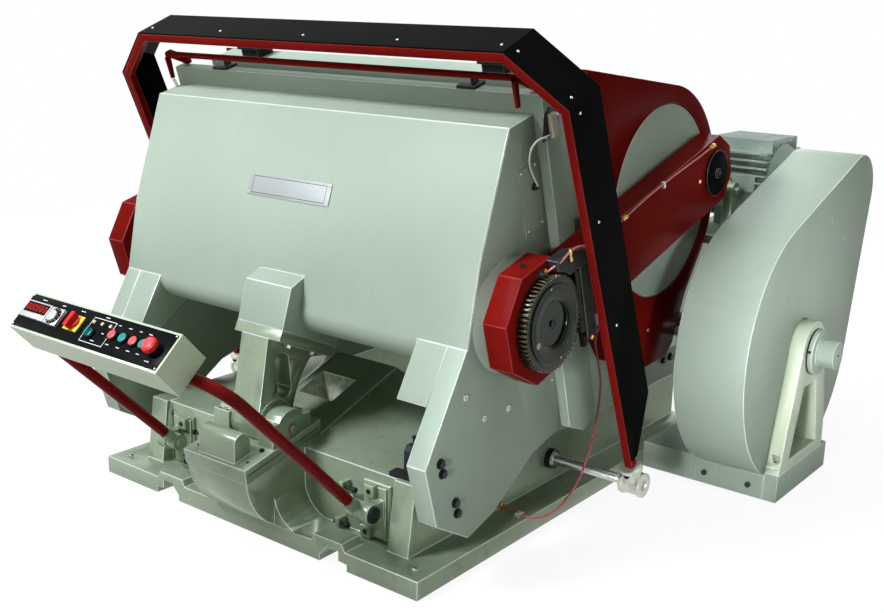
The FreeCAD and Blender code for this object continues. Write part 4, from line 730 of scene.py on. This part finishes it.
# A coil spring pulls the trip bar's left lever down to a hook on the platen.
def trip_spring():
    lever_x = -648
    upper = on_platen(lever_x, 501, 778)
    lower = on_platen(lever_x, 512, 736)
    foot = on_platen(lever_x, 520, 726)
    ahead = (lower - upper).normalized()
    side = ahead.orthogonal().normalized()
    across = ahead.cross(side)
    length = (lower - upper).length
    coil_radius = 0.0042
    steps_per_turn = 16
    steps = 9 * steps_per_turn
    line = []
    for step in range(steps + 1):
        angle = 2 * math.pi * step / steps_per_turn
        middle = upper + ahead * length * (0.08 + 0.84 * step / steps)
        line.append(middle + (side * math.cos(angle) + across * math.sin(angle)) * coil_radius)
    spring = bmesh.new()
    sweep(spring, [upper] + line + [lower], 0.9, 6)
    item = put(spring, "trip_spring", None, STEEL)
    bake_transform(item)
    hook = bmesh.new()
    points = [foot + Vector((0, 0.030, -0.004)), foot, lower - ahead * 0.002, lower]
    sweep(hook, smooth_line(points), 1.8, 8)
    put(hook, "spring_hook", "platen", BLACK_BOLT)


# Grease line on the right arm with its fittings and clip, and the nipple on the worm housing.
def grease_fittings():
    line = bmesh.new()
    points = [
        (773, 28, 126), (785, 42, 136), (797, 60, 144), (799.5, 97, 153), (799, 130, 150),
        (795, 165, 136), (780, 190, 118), (769, 225, 102), (768, 330, 97), (768, 411, 96),
        (768, 520, 101), (768, 632, 101), (768, 740, 98), (768, 850, 93), (768, 930, 92),
    ]
    sweep(line, smooth_line([on_arm(*point) for point in points]), 2.8)
    put(line, "grease_line", "arm_right", PINK_PIPE)
    brass = bmesh.new()
    elbow = [(0, 0), (9, 0), (9, 9), (7, 10.5), (0, 10.5)]
    sleeve = [(0, 0), (6.5, 0), (6.5, 22), (0, 22)]
    union = [(0, 0), (6, 0), (6, 14), (8, 14), (8, 26), (5, 30), (0, 30)]
    nipple = [
        (0, 0), (5, 0), (5, 11), (3.6, 12.5), (3.6, 17),
        (5, 18.5), (5, 27), (3.2, 30), (3.2, 33), (0, 34),
    ]
    turned(brass, on_arm, (ARM_FACE - 1, 28, 126), RIGHT, elbow, 6)
    turned(brass, on_arm, (ARM_FACE + 4, 400, 96), BACK, sleeve, 6)
    turned(brass, on_arm, (ARM_FACE + 4, 922, 92), BACK, union, 6)
    turned(brass, on_arm, (799.5, 97, 128), UP, nipple)
    put(brass, "grease_fittings", "arm_right", BRASS)
    clip = bmesh.new()
    box(clip, on_arm, (ARM_FACE - 1, 627, 89), (ARM_FACE + 9, 637, 107), 1.2, RIGHT)
    dome_screw(clip, on_arm, (ARM_FACE + 8.5, 632, 93), RIGHT, 3.2)
    dome_screw(clip, on_arm, (ARM_FACE - 0.5, 854, 13), RIGHT, 6)
    put(clip, "arm_clip", "arm_right", GALVANISED)


# Worm housing: knob beside the grease line, web behind the worm and cover screws.
# Each arm has a grub screw, and a square in its cap.
def arm_fittings():
    dark = bmesh.new()
    knob = [(0, 0), (10, 0), (10, 7), (7, 9), (7, 15), (5, 17), (0, 17)]
    turned(dark, on_arm, (ARM_FACE - 1, 5, 130), RIGHT, knob)
    outline = []
    web_radius = 127
    for step in range(17):
        angle = math.radians(-46 + 80 * step / 16)
        outline.append((web_radius * math.cos(angle), web_radius * math.sin(angle)))
    outline += [(139, 71), (139, -92)]
    rings = []
    for x in (ARM_FACE, ARM_FACE + 3.5):
        rings.append([dark.verts.new(on_arm(x, along, up)) for along, up in outline])
    close_rings(dark, rings)
    for up in (96, 40, -40, -98):
        socket_screw(dark, on_arm, (ARM_FACE + 31, 160, up), RIGHT, 6)
    put(dark, "housing_fittings", "arm_right", BLACK_SATIN)
    square = [(0, 0), (8, 0), (8, 2.5), (0, 2.5)]
    for side, word in ((1, "right"), (-1, "left")):
        grub = bmesh.new()
        socket_screw(grub, on_arm, (side * 730, -8, 149), UP, 8)
        turned(grub, on_arm, (side * (ARM_FACE + 13.5), 953.1, 0), (side, 0, 0), square, 4)
        put(grub, "arm_grub_screw_" + word, "arm_" + word, BLACK_BOLT)


def wheel_spot(x, radius, angle):
    turn = math.radians(angle)
    return x, TRUNNION[0] + radius * math.cos(turn), TRUNNION[1] + radius * math.sin(turn)


# Pressure wheel: a turned ring on its face and the screws that lock it.
def wheel_fittings():
    ring = bmesh.new()
    profile = [
        (62, -1), (62, 3.4), (64, 4.4), (88, 4.4), (89.5, 3.2), (92, 3.2),
        (93.5, 4.4), (101, 4.4), (103, 2.6), (103, -1), (62, -1),
    ]
    turned(ring, on_machine, (WHEEL_FACE, *TRUNNION), RIGHT, profile, 72)
    put(ring, "wheel_ring", "pressure_wheel", DARK_STEEL)
    screws = bmesh.new()
    for radius, angle in ((96, 106), (97, -70.6)):
        dome_screw(screws, on_machine, wheel_spot(WHEEL_FACE + 4, radius, angle), RIGHT, 3.6)
    nut = [(0, 0), (9, 0), (9, 2.4), (0, 2.4)]
    turned(screws, on_machine, wheel_spot(WHEEL_FACE + 3.5, 84, -152), RIGHT, nut, 6)
    put(screws, "wheel_screws", "pressure_wheel", BRONZE)


def saddle_top(y):
    """Height of the saddle plate's sloping top."""
    return 246 + 0.2309 * (y + 872)


# Pivot saddle: cap screws in counterbores, side bolts, clamp screws, tapped holes and the parting line.
def saddle_fittings():
    black = bmesh.new()
    bronze = bmesh.new()
    outward = (0, -0.225, 0.974)
    hole = [(0, -0.5), (5, -0.5), (5, 0.4), (4.2, 0.5), (0, 0.2)]
    for side in (1, -1):
        for x in (71, 99):
            for y in (-762, -642):
                socket_screw(black, on_machine, (side * x, y, 318), UP, 6.2)
        for x, y in ((92, -790), (60, -611)):
            socket_screw(black, on_machine, (side * x, y, saddle_top(y) - 1), outward, 7)
        turned(black, on_machine, (side * 98, -848, saddle_top(-848)), outward, hole)
        hex_bolt(bronze, on_machine, (side * 117.5, *PIVOT), (side, 0, 0), 12)
    for start, end in (
        ((123.2, -872), (123.2, -600)),
        ((-123.2, -872), (-123.2, -600)),
        ((-123, -877), (123, -877)),
    ):
        line = [on_machine(x, y, saddle_top(y) - 20) for x, y in (start, end)]
        sweep(black, line, 0.9, 6)
    put(black, "saddle_screws", "frame", BLACK_BOLT)
    put(bronze, "pivot_side_bolts", "frame", BRONZE)


def upright(side, x, z, half_width, half_height):
    """Corners of an upright rectangle round a spot on the machine's front."""
    signs = ((-1, -1), (1, -1), (1, 1), (-1, 1))
    return [(side * (x + across * half_width), 0, z + up * half_height) for across, up in signs]


# Control bar brackets: cast pads, ears with socket screws, end plugs, stop lugs with their adjusting screws.
def bracket_fittings():
    cast = bmesh.new()
    black = bmesh.new()
    ear_screw = [(0, 0), (7.5, 0), (7.5, 1.2), (6.5, 1.8), (4, 1.8), (3.6, 0.8), (0, 0.8)]
    plug = [(0, -1), (23, -1), (23, 5), (21.5, 7), (16, 8.6), (8, 9.2), (7, 8), (0, 8)]
    for side in (1, -1):
        outward = (side, 0, 0)
        slab(cast, on_machine, upright(side, 391, 135, 47, 81), FRONT, WALL_FACE - 1, WALL_FACE + 8, 2.5)
        for x, z in ((379, 194), (366, 75)):
            slab(cast, on_machine, upright(side, x, z, 17, 17), FRONT, WALL_FACE + 6, WALL_FACE + 28, 1.6)
            turned(black, on_machine, (side * x, -WALL_FACE - 27.5, z), FRONT, ear_screw)
        turned(black, on_machine, (side * 423, *BAR_HINGE), outward, plug, 32)
        for x, z, reach in ((283, 180, 46), (268, 70, 34)):
            slab(cast, on_machine, upright(side, x, z, 8, 15), FRONT, WALL_FACE - 1, WALL_FACE + 32, 1.6)
            rod = [
                (0, -16), (7, -16), (7, -9), (4.5, -9), (4.5, reach - 9),
                (8, reach - 9), (8, reach), (6.5, reach + 1.5), (0, reach + 1.5),
            ]
            turned(black, on_machine, (side * x, -WALL_FACE - 22, z), outward, rod, 12)
    for z in (206, 90):
        hex_bolt(black, on_machine, (-443, -WALL_FACE, z), FRONT, 8)
    put(cast, "bracket_castings", "frame", CAST_GREEN)
    put(black, "bracket_screws", "frame", BLACK_BOLT)


# Base: levelling screws in the rim, the oil line's unions and clip, and the platen's black rest block.
def base_fittings():
    bright = bmesh.new()
    screw = [(0, 0), (8.4, 0), (8.4, 13.5), (7.4, 16), (4.5, 17.6), (0, 18.2)]
    for x in (575, -575):
        for y in (-725, 725):
            turned(bright, on_machine, (x, y, 40), UP, screw)
    put(bright, "levelling_screws", "frame", STEEL)
    brass = bmesh.new()
    union = [(0, 0), (11, 0), (11, 8), (7.5, 9), (7.5, 18), (6, 20), (0, 20)]
    nut = [(0, 0), (7, 0), (7, 12), (0, 12)]
    turned(brass, on_machine, (BODY_FACE - 1, -284, 60), RIGHT, union, 6)
    turned(brass, on_machine, (604, 40, 498), (0, 0.62, 0.78), nut, 6)
    put(brass, "oil_unions", "frame", BRASS)
    clip = bmesh.new()
    box(clip, on_machine, (590, -306, 52), (606, -280, 63.5), 2.5)
    dome_screw(clip, on_machine, (598, -276, 52.5), UP, 5)
    put(clip, "oil_line_clip", "frame", GALVANISED)
    rest = bmesh.new()
    corners = [
        (0, -646, 242), (0, -604, 242), (0, -604, 318), (0, -618, 336), (0, -636, 336), (0, -646, 322),
    ]
    stud = [(0, 0), (7, 0), (7, 6), (4, 7), (4, 18), (6, 19), (6, 26), (0, 28)]
    slab(rest, on_machine, corners, RIGHT, 470, 520, 2.0)
    box(rest, on_machine, (425, -652, 243), (500, -620, 257), 2.0)
    turned(rest, on_machine, (486, -624, 335), UP, stud)
    put(rest, "platen_rest", "frame", BLACK_SATIN)


# Drive side: rivets in the flywheel cover, and the union's seal, set screw and center.
def drive_fittings():
    rivets = bmesh.new()
    for y, z in ((723, 812.5), (851, 737)):
        dome_screw(rivets, on_machine, (COVER_FACE - 0.5, y, z), RIGHT, 5.5)
    put(rivets, "cover_rivets", "frame", STEEL)
    black = bmesh.new()
    seal = [(60, -1), (71.5, -1), (71.5, 3.5), (60, 3.5), (60, -1)]
    set_screw = [(0, -2), (5, -2), (5, 2.6), (3, 3), (0, 2)]
    center = [(0, 0), (5, 0), (5, 1.2), (0, 0.8)]
    turned(black, on_machine, (PEDESTAL_FACE + 3, *DRIVE), RIGHT, seal, 48)
    turned(black, on_machine, (PEDESTAL_FACE + 11, 502, 450), (0, -0.98, 0.2), set_screw)
    turned(black, on_machine, (UNION_FACE - 0.5, *DRIVE), RIGHT, center)
    put(black, "union_seal", "frame", BLACK_SATIN)


# Motor: cable gland, the terminal box's lid screws, and the fan's grille.
def motor_fittings():
    gland = bmesh.new()
    profile = [(0, 0), (17, 0), (17, 5), (14, 6), (14, 12), (9, 12), (8.5, 4), (0, 4)]
    turned(gland, on_machine, (640, 817, 884), FRONT, profile)
    put(gland, "motor_gland", "frame", BRASS)
    lid = bmesh.new()
    for x in (609, 726):
        for y in (826, 886):
            dome_screw(lid, on_machine, (x, y, 910.5), UP, 4)
    for inner in (28, 52, 76, 100):
        outer = inner + 9
        ring = [(inner, -0.6), (outer, -0.6), (outer, 0.8), (inner, 0.8), (inner, -0.6)]
        turned(lid, on_machine, (MOTOR_END, *MOTOR), LEFT, ring, 48)
    put(lid, "motor_lid_screws", "frame", BLACK_BOLT)


# Gear guards: a screw in each.
def gear_guard_fittings():
    screws = bmesh.new()
    for side in (1, -1):
        dome_screw(screws, on_machine, (side * (GEAR_GUARD_FACE - 0.5), 238, 498), (side, 0, 0), 6)
    put(screws, "gear_guard_screws", "frame", STEEL)


# Side frames: bolts at the ends of the cross bars and bolted flanges round the crank shaft's bearings.
def frame_fittings():
    bolts = bmesh.new()
    flanges = bmesh.new()
    profile = [(63, -1), (96, -1), (96, 11), (93, 14), (72, 14), (70, 18), (63, 18), (63, -1)]
    bolt_circle = 83
    for side in (1, -1):
        inward = (-side, 0, 0)
        for y, z in ((665, 270), (715, 270), (625, 870), (675, 870)):
            hex_bolt(bolts, on_machine, (side * (BODY_FACE - 0.5), y, z), (side, 0, 0), 13)
        turned(flanges, on_machine, (side * RAIL_FACE, *CRANK), inward, profile, 64)
        for step in range(6):
            angle = math.radians(30 + 60 * step)
            y = CRANK[0] + bolt_circle * math.cos(angle)
            z = CRANK[1] + bolt_circle * math.sin(angle)
            hex_bolt(bolts, on_machine, (side * (RAIL_FACE - 13.8), y, z), inward, 8)
    put(bolts, "frame_bolts", "frame", BLACK_BOLT)
    put(flanges, "bearing_flanges", "frame", CAST_GREEN)


def flat_frame(bm, left, right, low, high, line, level, top):
    """Four strips on the panel that make a rectangle, each as wide as the line."""
    for first, second in (
        ((left, low), (right, low + line)),
        ((left, high - line), (right, high)),
        ((left, low), (left + line, high)),
        ((right - line, low), (right, high)),
    ):
        box(bm, on_panel, (*first, level), (*second, top), 0.2)


# Panel face: a line round the lamps, dashes over and under the buttons, and a ring of marks on the timer.
def panel_marks():
    marks = bmesh.new()
    flat_frame(marks, -14, 72.5, 19, 87.5, 1.6, 1.9, 2.5)
    for x, along, width in (
        (85, 84, 9), (124, 84, 12), (162, 84, 9), (197, 84, 12),
        (85, 30, 12), (124, 30, 12), (162, 30, 12), (197, 30, 12),
        (-222, 92, 18), (-142, 92, 14), (-64, 92, 16), (30, 94, 16),
        (238, 20, 16), (30, 28, 14), (48, 52, 8),
    ):
        box(marks, on_panel, (x - width / 2, along - 1, 1.9), (x + width / 2, along + 1, 2.4), 0.2)
    ring_radius = 19.5
    for step in range(12):
        angle = math.radians(30 * step)
        x = TIMER_X + ring_radius * math.sin(angle)
        along = TIMER_ALONG + ring_radius * math.cos(angle)
        box(marks, on_panel, (x - 1, along - 1, 9.9), (x + 1, along + 1, 10.9), 0.2)
    put(marks, "panel_marks", "control_bar", WHITE)


# Control panel: windows of counter and timer, the counter's zeros, the stop button's crown in a lighter rose
# as a painted highlight, corner screws.
def panel_fittings():
    glass = bmesh.new()
    dial = [(0, 0), (23, 0), (23, 0.6), (22, 1.0), (0, 1.0)]
    box(glass, on_panel, (-266, 49, 7.5), (-178, 78, 8.8), 0.5)
    turned(glass, on_panel, (TIMER_X, TIMER_ALONG, 9.8), UP, dial, 40)
    put(glass, "counter_window", "control_bar", WINDOW)
    figures = bmesh.new()
    for place in range(6):
        left = -259 + 13.5 * place
        flat_frame(figures, left, left + 8, 56, 72, 1.4, 8.6, 9.1)
    put(figures, "counter_figures", "control_bar", DIGIT)
    top = bmesh.new()
    # The crown is a real second tier; its lighter rose colour is a painted highlight.
    crown = [(0, -0.5), (15, -0.5), (15, 0.8), (13.6, 1.9), (8.4, 2.3), (7.8, 1.3), (0, 1.0)]
    turned(top, on_panel, (238, 52, 28), UP, crown, 40)
    put(top, "stop_button_crown_highlight", "stop_button", ROSE_CAP_AND_HIGHLIGHT)
    screws = bmesh.new()
    for x in (-275, 275):
        for along in (10, 98):
            dome_screw(screws, on_panel, (x, along, 1.8), UP, 3)
    put(screws, "panel_screws", "control_bar", STEEL)


guard_fittings()
platen_fittings()
trip_spring()
grease_fittings()
arm_fittings()
wheel_fittings()
saddle_fittings()
bracket_fittings()
base_fittings()
drive_fittings()
motor_fittings()
gear_guard_fittings()
frame_fittings()
panel_marks()
panel_fittings()


# Cords: one smooth line through each route, in metres.
def cord_line(name, points, diameter, material, node, body):
    curve = bpy.data.curves.new(name, "CURVE")
    curve.dimensions = "3D"
    curve.bevel_depth = diameter / 2
    curve.bevel_resolution = 6
    curve.resolution_u = 16
    spline = curve.splines.new("NURBS")
    spline.points.add(len(points) - 1)
    for point, place in zip(spline.points, points):
        point.co = (*place, 1.0)
    spline.order_u = 3
    spline.use_endpoint_u = True
    item = bpy.data.objects.new(name, curve)
    bpy.context.scene.collection.objects.link(item)
    curve.materials.append(material)
    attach(item, body)
    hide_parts(node)
    return item


OIL_ROUTE = [
    (0.527, -0.284, 0.060), (0.575, -0.284, 0.060), (0.608, -0.293, 0.058), (0.640, -0.295, 0.0575),
    (0.668, -0.272, 0.063), (0.688, -0.238, 0.078), (0.698, -0.189, 0.110), (0.700, -0.138, 0.153),
    (0.694, -0.087, 0.208), (0.684, -0.045, 0.260), (0.672, -0.010, 0.319), (0.658, 0.020, 0.385),
    (0.636, 0.032, 0.442), (0.608, 0.04841, 0.50298), (0.608, 0.08717, 0.53453),
]
oil_tube = cord_line("oil_tube_line", OIL_ROUTE, 0.006, TUBE, "oil_tube", "frame")
CABLE_ROUTE = [
    (0.694, -0.3605, 1.1338), (0.694, -0.3835, 1.127), (0.692, -0.412, 1.124), (0.688, -0.432, 1.110),
    (0.683, -0.437, 1.090), (0.676, -0.428, 1.068), (0.670, -0.410, 1.046), (0.672, -0.393, 1.020),
    (0.675, -0.376, 1.000), (0.657, -0.376, 1.000),
]
sensor_cable = cord_line("sensor_cable_line", CABLE_ROUTE, 0.005, CABLE, "sensor_cable", "platen")


# Floor, light and camera.
def seen_rays(tree_nodes, links):
    """One where the surface is seen, straight or in a reflection, and zero where it lights other things."""
    path = tree_nodes.new("ShaderNodeLightPath")
    first = tree_nodes.new("ShaderNodeMath")
    first.operation = "MAXIMUM"
    links.new(path.outputs["Is Camera Ray"], first.inputs[0])
    links.new(path.outputs["Is Glossy Ray"], first.inputs[1])
    second = tree_nodes.new("ShaderNodeMath")
    second.operation = "MAXIMUM"
    links.new(first.outputs[0], second.inputs[0])
    links.new(path.outputs["Is Transmission Ray"], second.inputs[1])
    return second.outputs[0]


def pale_floor():
    """A floor that takes shadows near the machine and goes over into white further off."""
    near = 1.4
    white_from = 5.0
    material, tree_nodes, links = new_material("pale_floor")
    shader = tree_nodes["Principled BSDF"]
    shader.inputs["Base Color"].default_value = (0.50, 0.50, 0.49, 1.0)
    shader.inputs["Roughness"].default_value = 0.9
    shader.inputs["Specular IOR Level"].default_value = 0.0
    glow = tree_nodes.new("ShaderNodeEmission")
    mix = tree_nodes.new("ShaderNodeMixShader")
    place = tree_nodes.new("ShaderNodeTexCoord").outputs["Object"]
    length = tree_nodes.new("ShaderNodeVectorMath")
    length.operation = "LENGTH"
    links.new(place, length.inputs[0])
    far = length.outputs["Value"]
    links.new(spread(tree_nodes, links, far, 1.2, 1.0, near, white_from), glow.inputs["Strength"])
    share = tree_nodes.new("ShaderNodeMath")
    share.operation = "MULTIPLY"
    links.new(spread(tree_nodes, links, far, 0.76, 1.0, near, white_from), share.inputs[1])
    links.new(seen_rays(tree_nodes, links), share.inputs[0])
    links.new(share.outputs[0], mix.inputs["Fac"])
    links.new(shader.outputs["BSDF"], mix.inputs[1])
    links.new(glow.outputs["Emission"], mix.inputs[2])
    links.new(mix.outputs["Shader"], tree_nodes["Material Output"].inputs["Surface"])
    return material


def lay_floor():
    bm = bmesh.new()
    bmesh.ops.create_grid(bm, x_segments=8, y_segments=8, size=14.0)
    mesh = bpy.data.meshes.new("floor")
    bm.to_mesh(mesh)
    bm.free()
    mesh.materials.append(pale_floor())
    floor = bpy.data.objects.new("floor", mesh)
    bpy.context.scene.collection.objects.link(floor)


def backdrop():
    """A white background that gives only a little light of its own."""
    world = bpy.data.worlds.new("studio")
    bpy.context.scene.world = world
    world.use_nodes = True
    tree_nodes = world.node_tree.nodes
    links = world.node_tree.links
    soft = tree_nodes["Background"]
    soft.inputs["Color"].default_value = (0.87, 1.06, 0.70, 1.0)
    soft.inputs["Strength"].default_value = 0.125
    white = tree_nodes.new("ShaderNodeBackground")
    white.inputs["Color"].default_value = (1.0, 1.0, 1.0, 1.0)
    white.inputs["Strength"].default_value = 1.0
    mix = tree_nodes.new("ShaderNodeMixShader")
    links.new(seen_rays(tree_nodes, links), mix.inputs["Fac"])
    links.new(soft.outputs["Background"], mix.inputs[1])
    links.new(white.outputs["Background"], mix.inputs[2])
    links.new(mix.outputs["Shader"], tree_nodes["World Output"].inputs["Surface"])


def lamp(name, place, target, size, power, spread_degrees=180, color=(0.99, 0.99, 1.13)):
    """An area lamp that faces a target. Places and size are in metres, power in watts."""
    light = bpy.data.lights.new(name, "AREA")
    light.shape = "RECTANGLE"
    light.size = size[0]
    light.size_y = size[1]
    light.energy = power
    light.color = color
    light.spread = math.radians(spread_degrees)
    item = bpy.data.objects.new(name, light)
    bpy.context.scene.collection.objects.link(item)
    item.location = place
    item.rotation_euler = (Vector(target) - Vector(place)).to_track_quat("-Z", "Y").to_euler()


def lamps():
    lamp("key", (-2.7, -5.4, 6.3), (0.0, -0.4, 0.6), (2.0, 1.8), 815)
    lamp("sky", (0.0, -0.2, 5.2), (0.0, -0.2, 0.0), (3.0, 3.0), 88, color=(0.90, 1.0, 1.12))
    lamp("upper", (-1.2, -5.2, 2.2), (-0.30, -0.50, 1.05), (1.6, 0.3), 1.0, 14)
    lamp("drive", (1.9, -4.9, 1.2), (1.02, 0.1, 0.44), (0.6, 0.6), 3.0, 18)
    lamp("flank", (4.6, -1.6, 1.5), (1.03, 0.45, 0.62), (0.6, 0.6), 1.0, 16)
    lamp("side", (4.8, -0.9, 1.0), (0.9, 0.4, 0.4), (1.8, 1.2), 20)
    lamp("back", (-1.6, 4.4, 3.2), (0.0, 0.3, 0.6), (2.4, 2.0), 70)


def camera():
    """The photograph's view."""
    place = (2.2508, -2.7813, 1.4513)
    sensor_width = 36.0
    azimuth = math.radians(37.966)
    elevation = math.radians(14.943)
    roll = math.radians(1.156)
    back = Vector((
        math.sin(azimuth) * math.cos(elevation),
        -math.cos(azimuth) * math.cos(elevation),
        math.sin(elevation),
    ))
    right = (-back).cross(Vector((0, 0, 1))).normalized()
    up = right.cross(-back)
    turned_right = math.cos(roll) * right + math.sin(roll) * up
    turned_up = -math.sin(roll) * right + math.cos(roll) * up
    data = bpy.data.cameras.new("photo_view")
    data.sensor_width = sensor_width
    data.lens = FOCAL_PIXELS / FRAME_WIDTH * sensor_width
    data.clip_end = 60.0
    item = bpy.data.objects.new("photo_view", data)
    bpy.context.scene.collection.objects.link(item)
    turn = Matrix((turned_right, turned_up, back)).transposed()
    item.matrix_world = Matrix.Translation(place) @ turn.to_4x4()
    bpy.context.scene.camera = item


lay_floor()
backdrop()
lamps()
camera()
bpy.context.scene.view_settings.view_transform = "Standard"
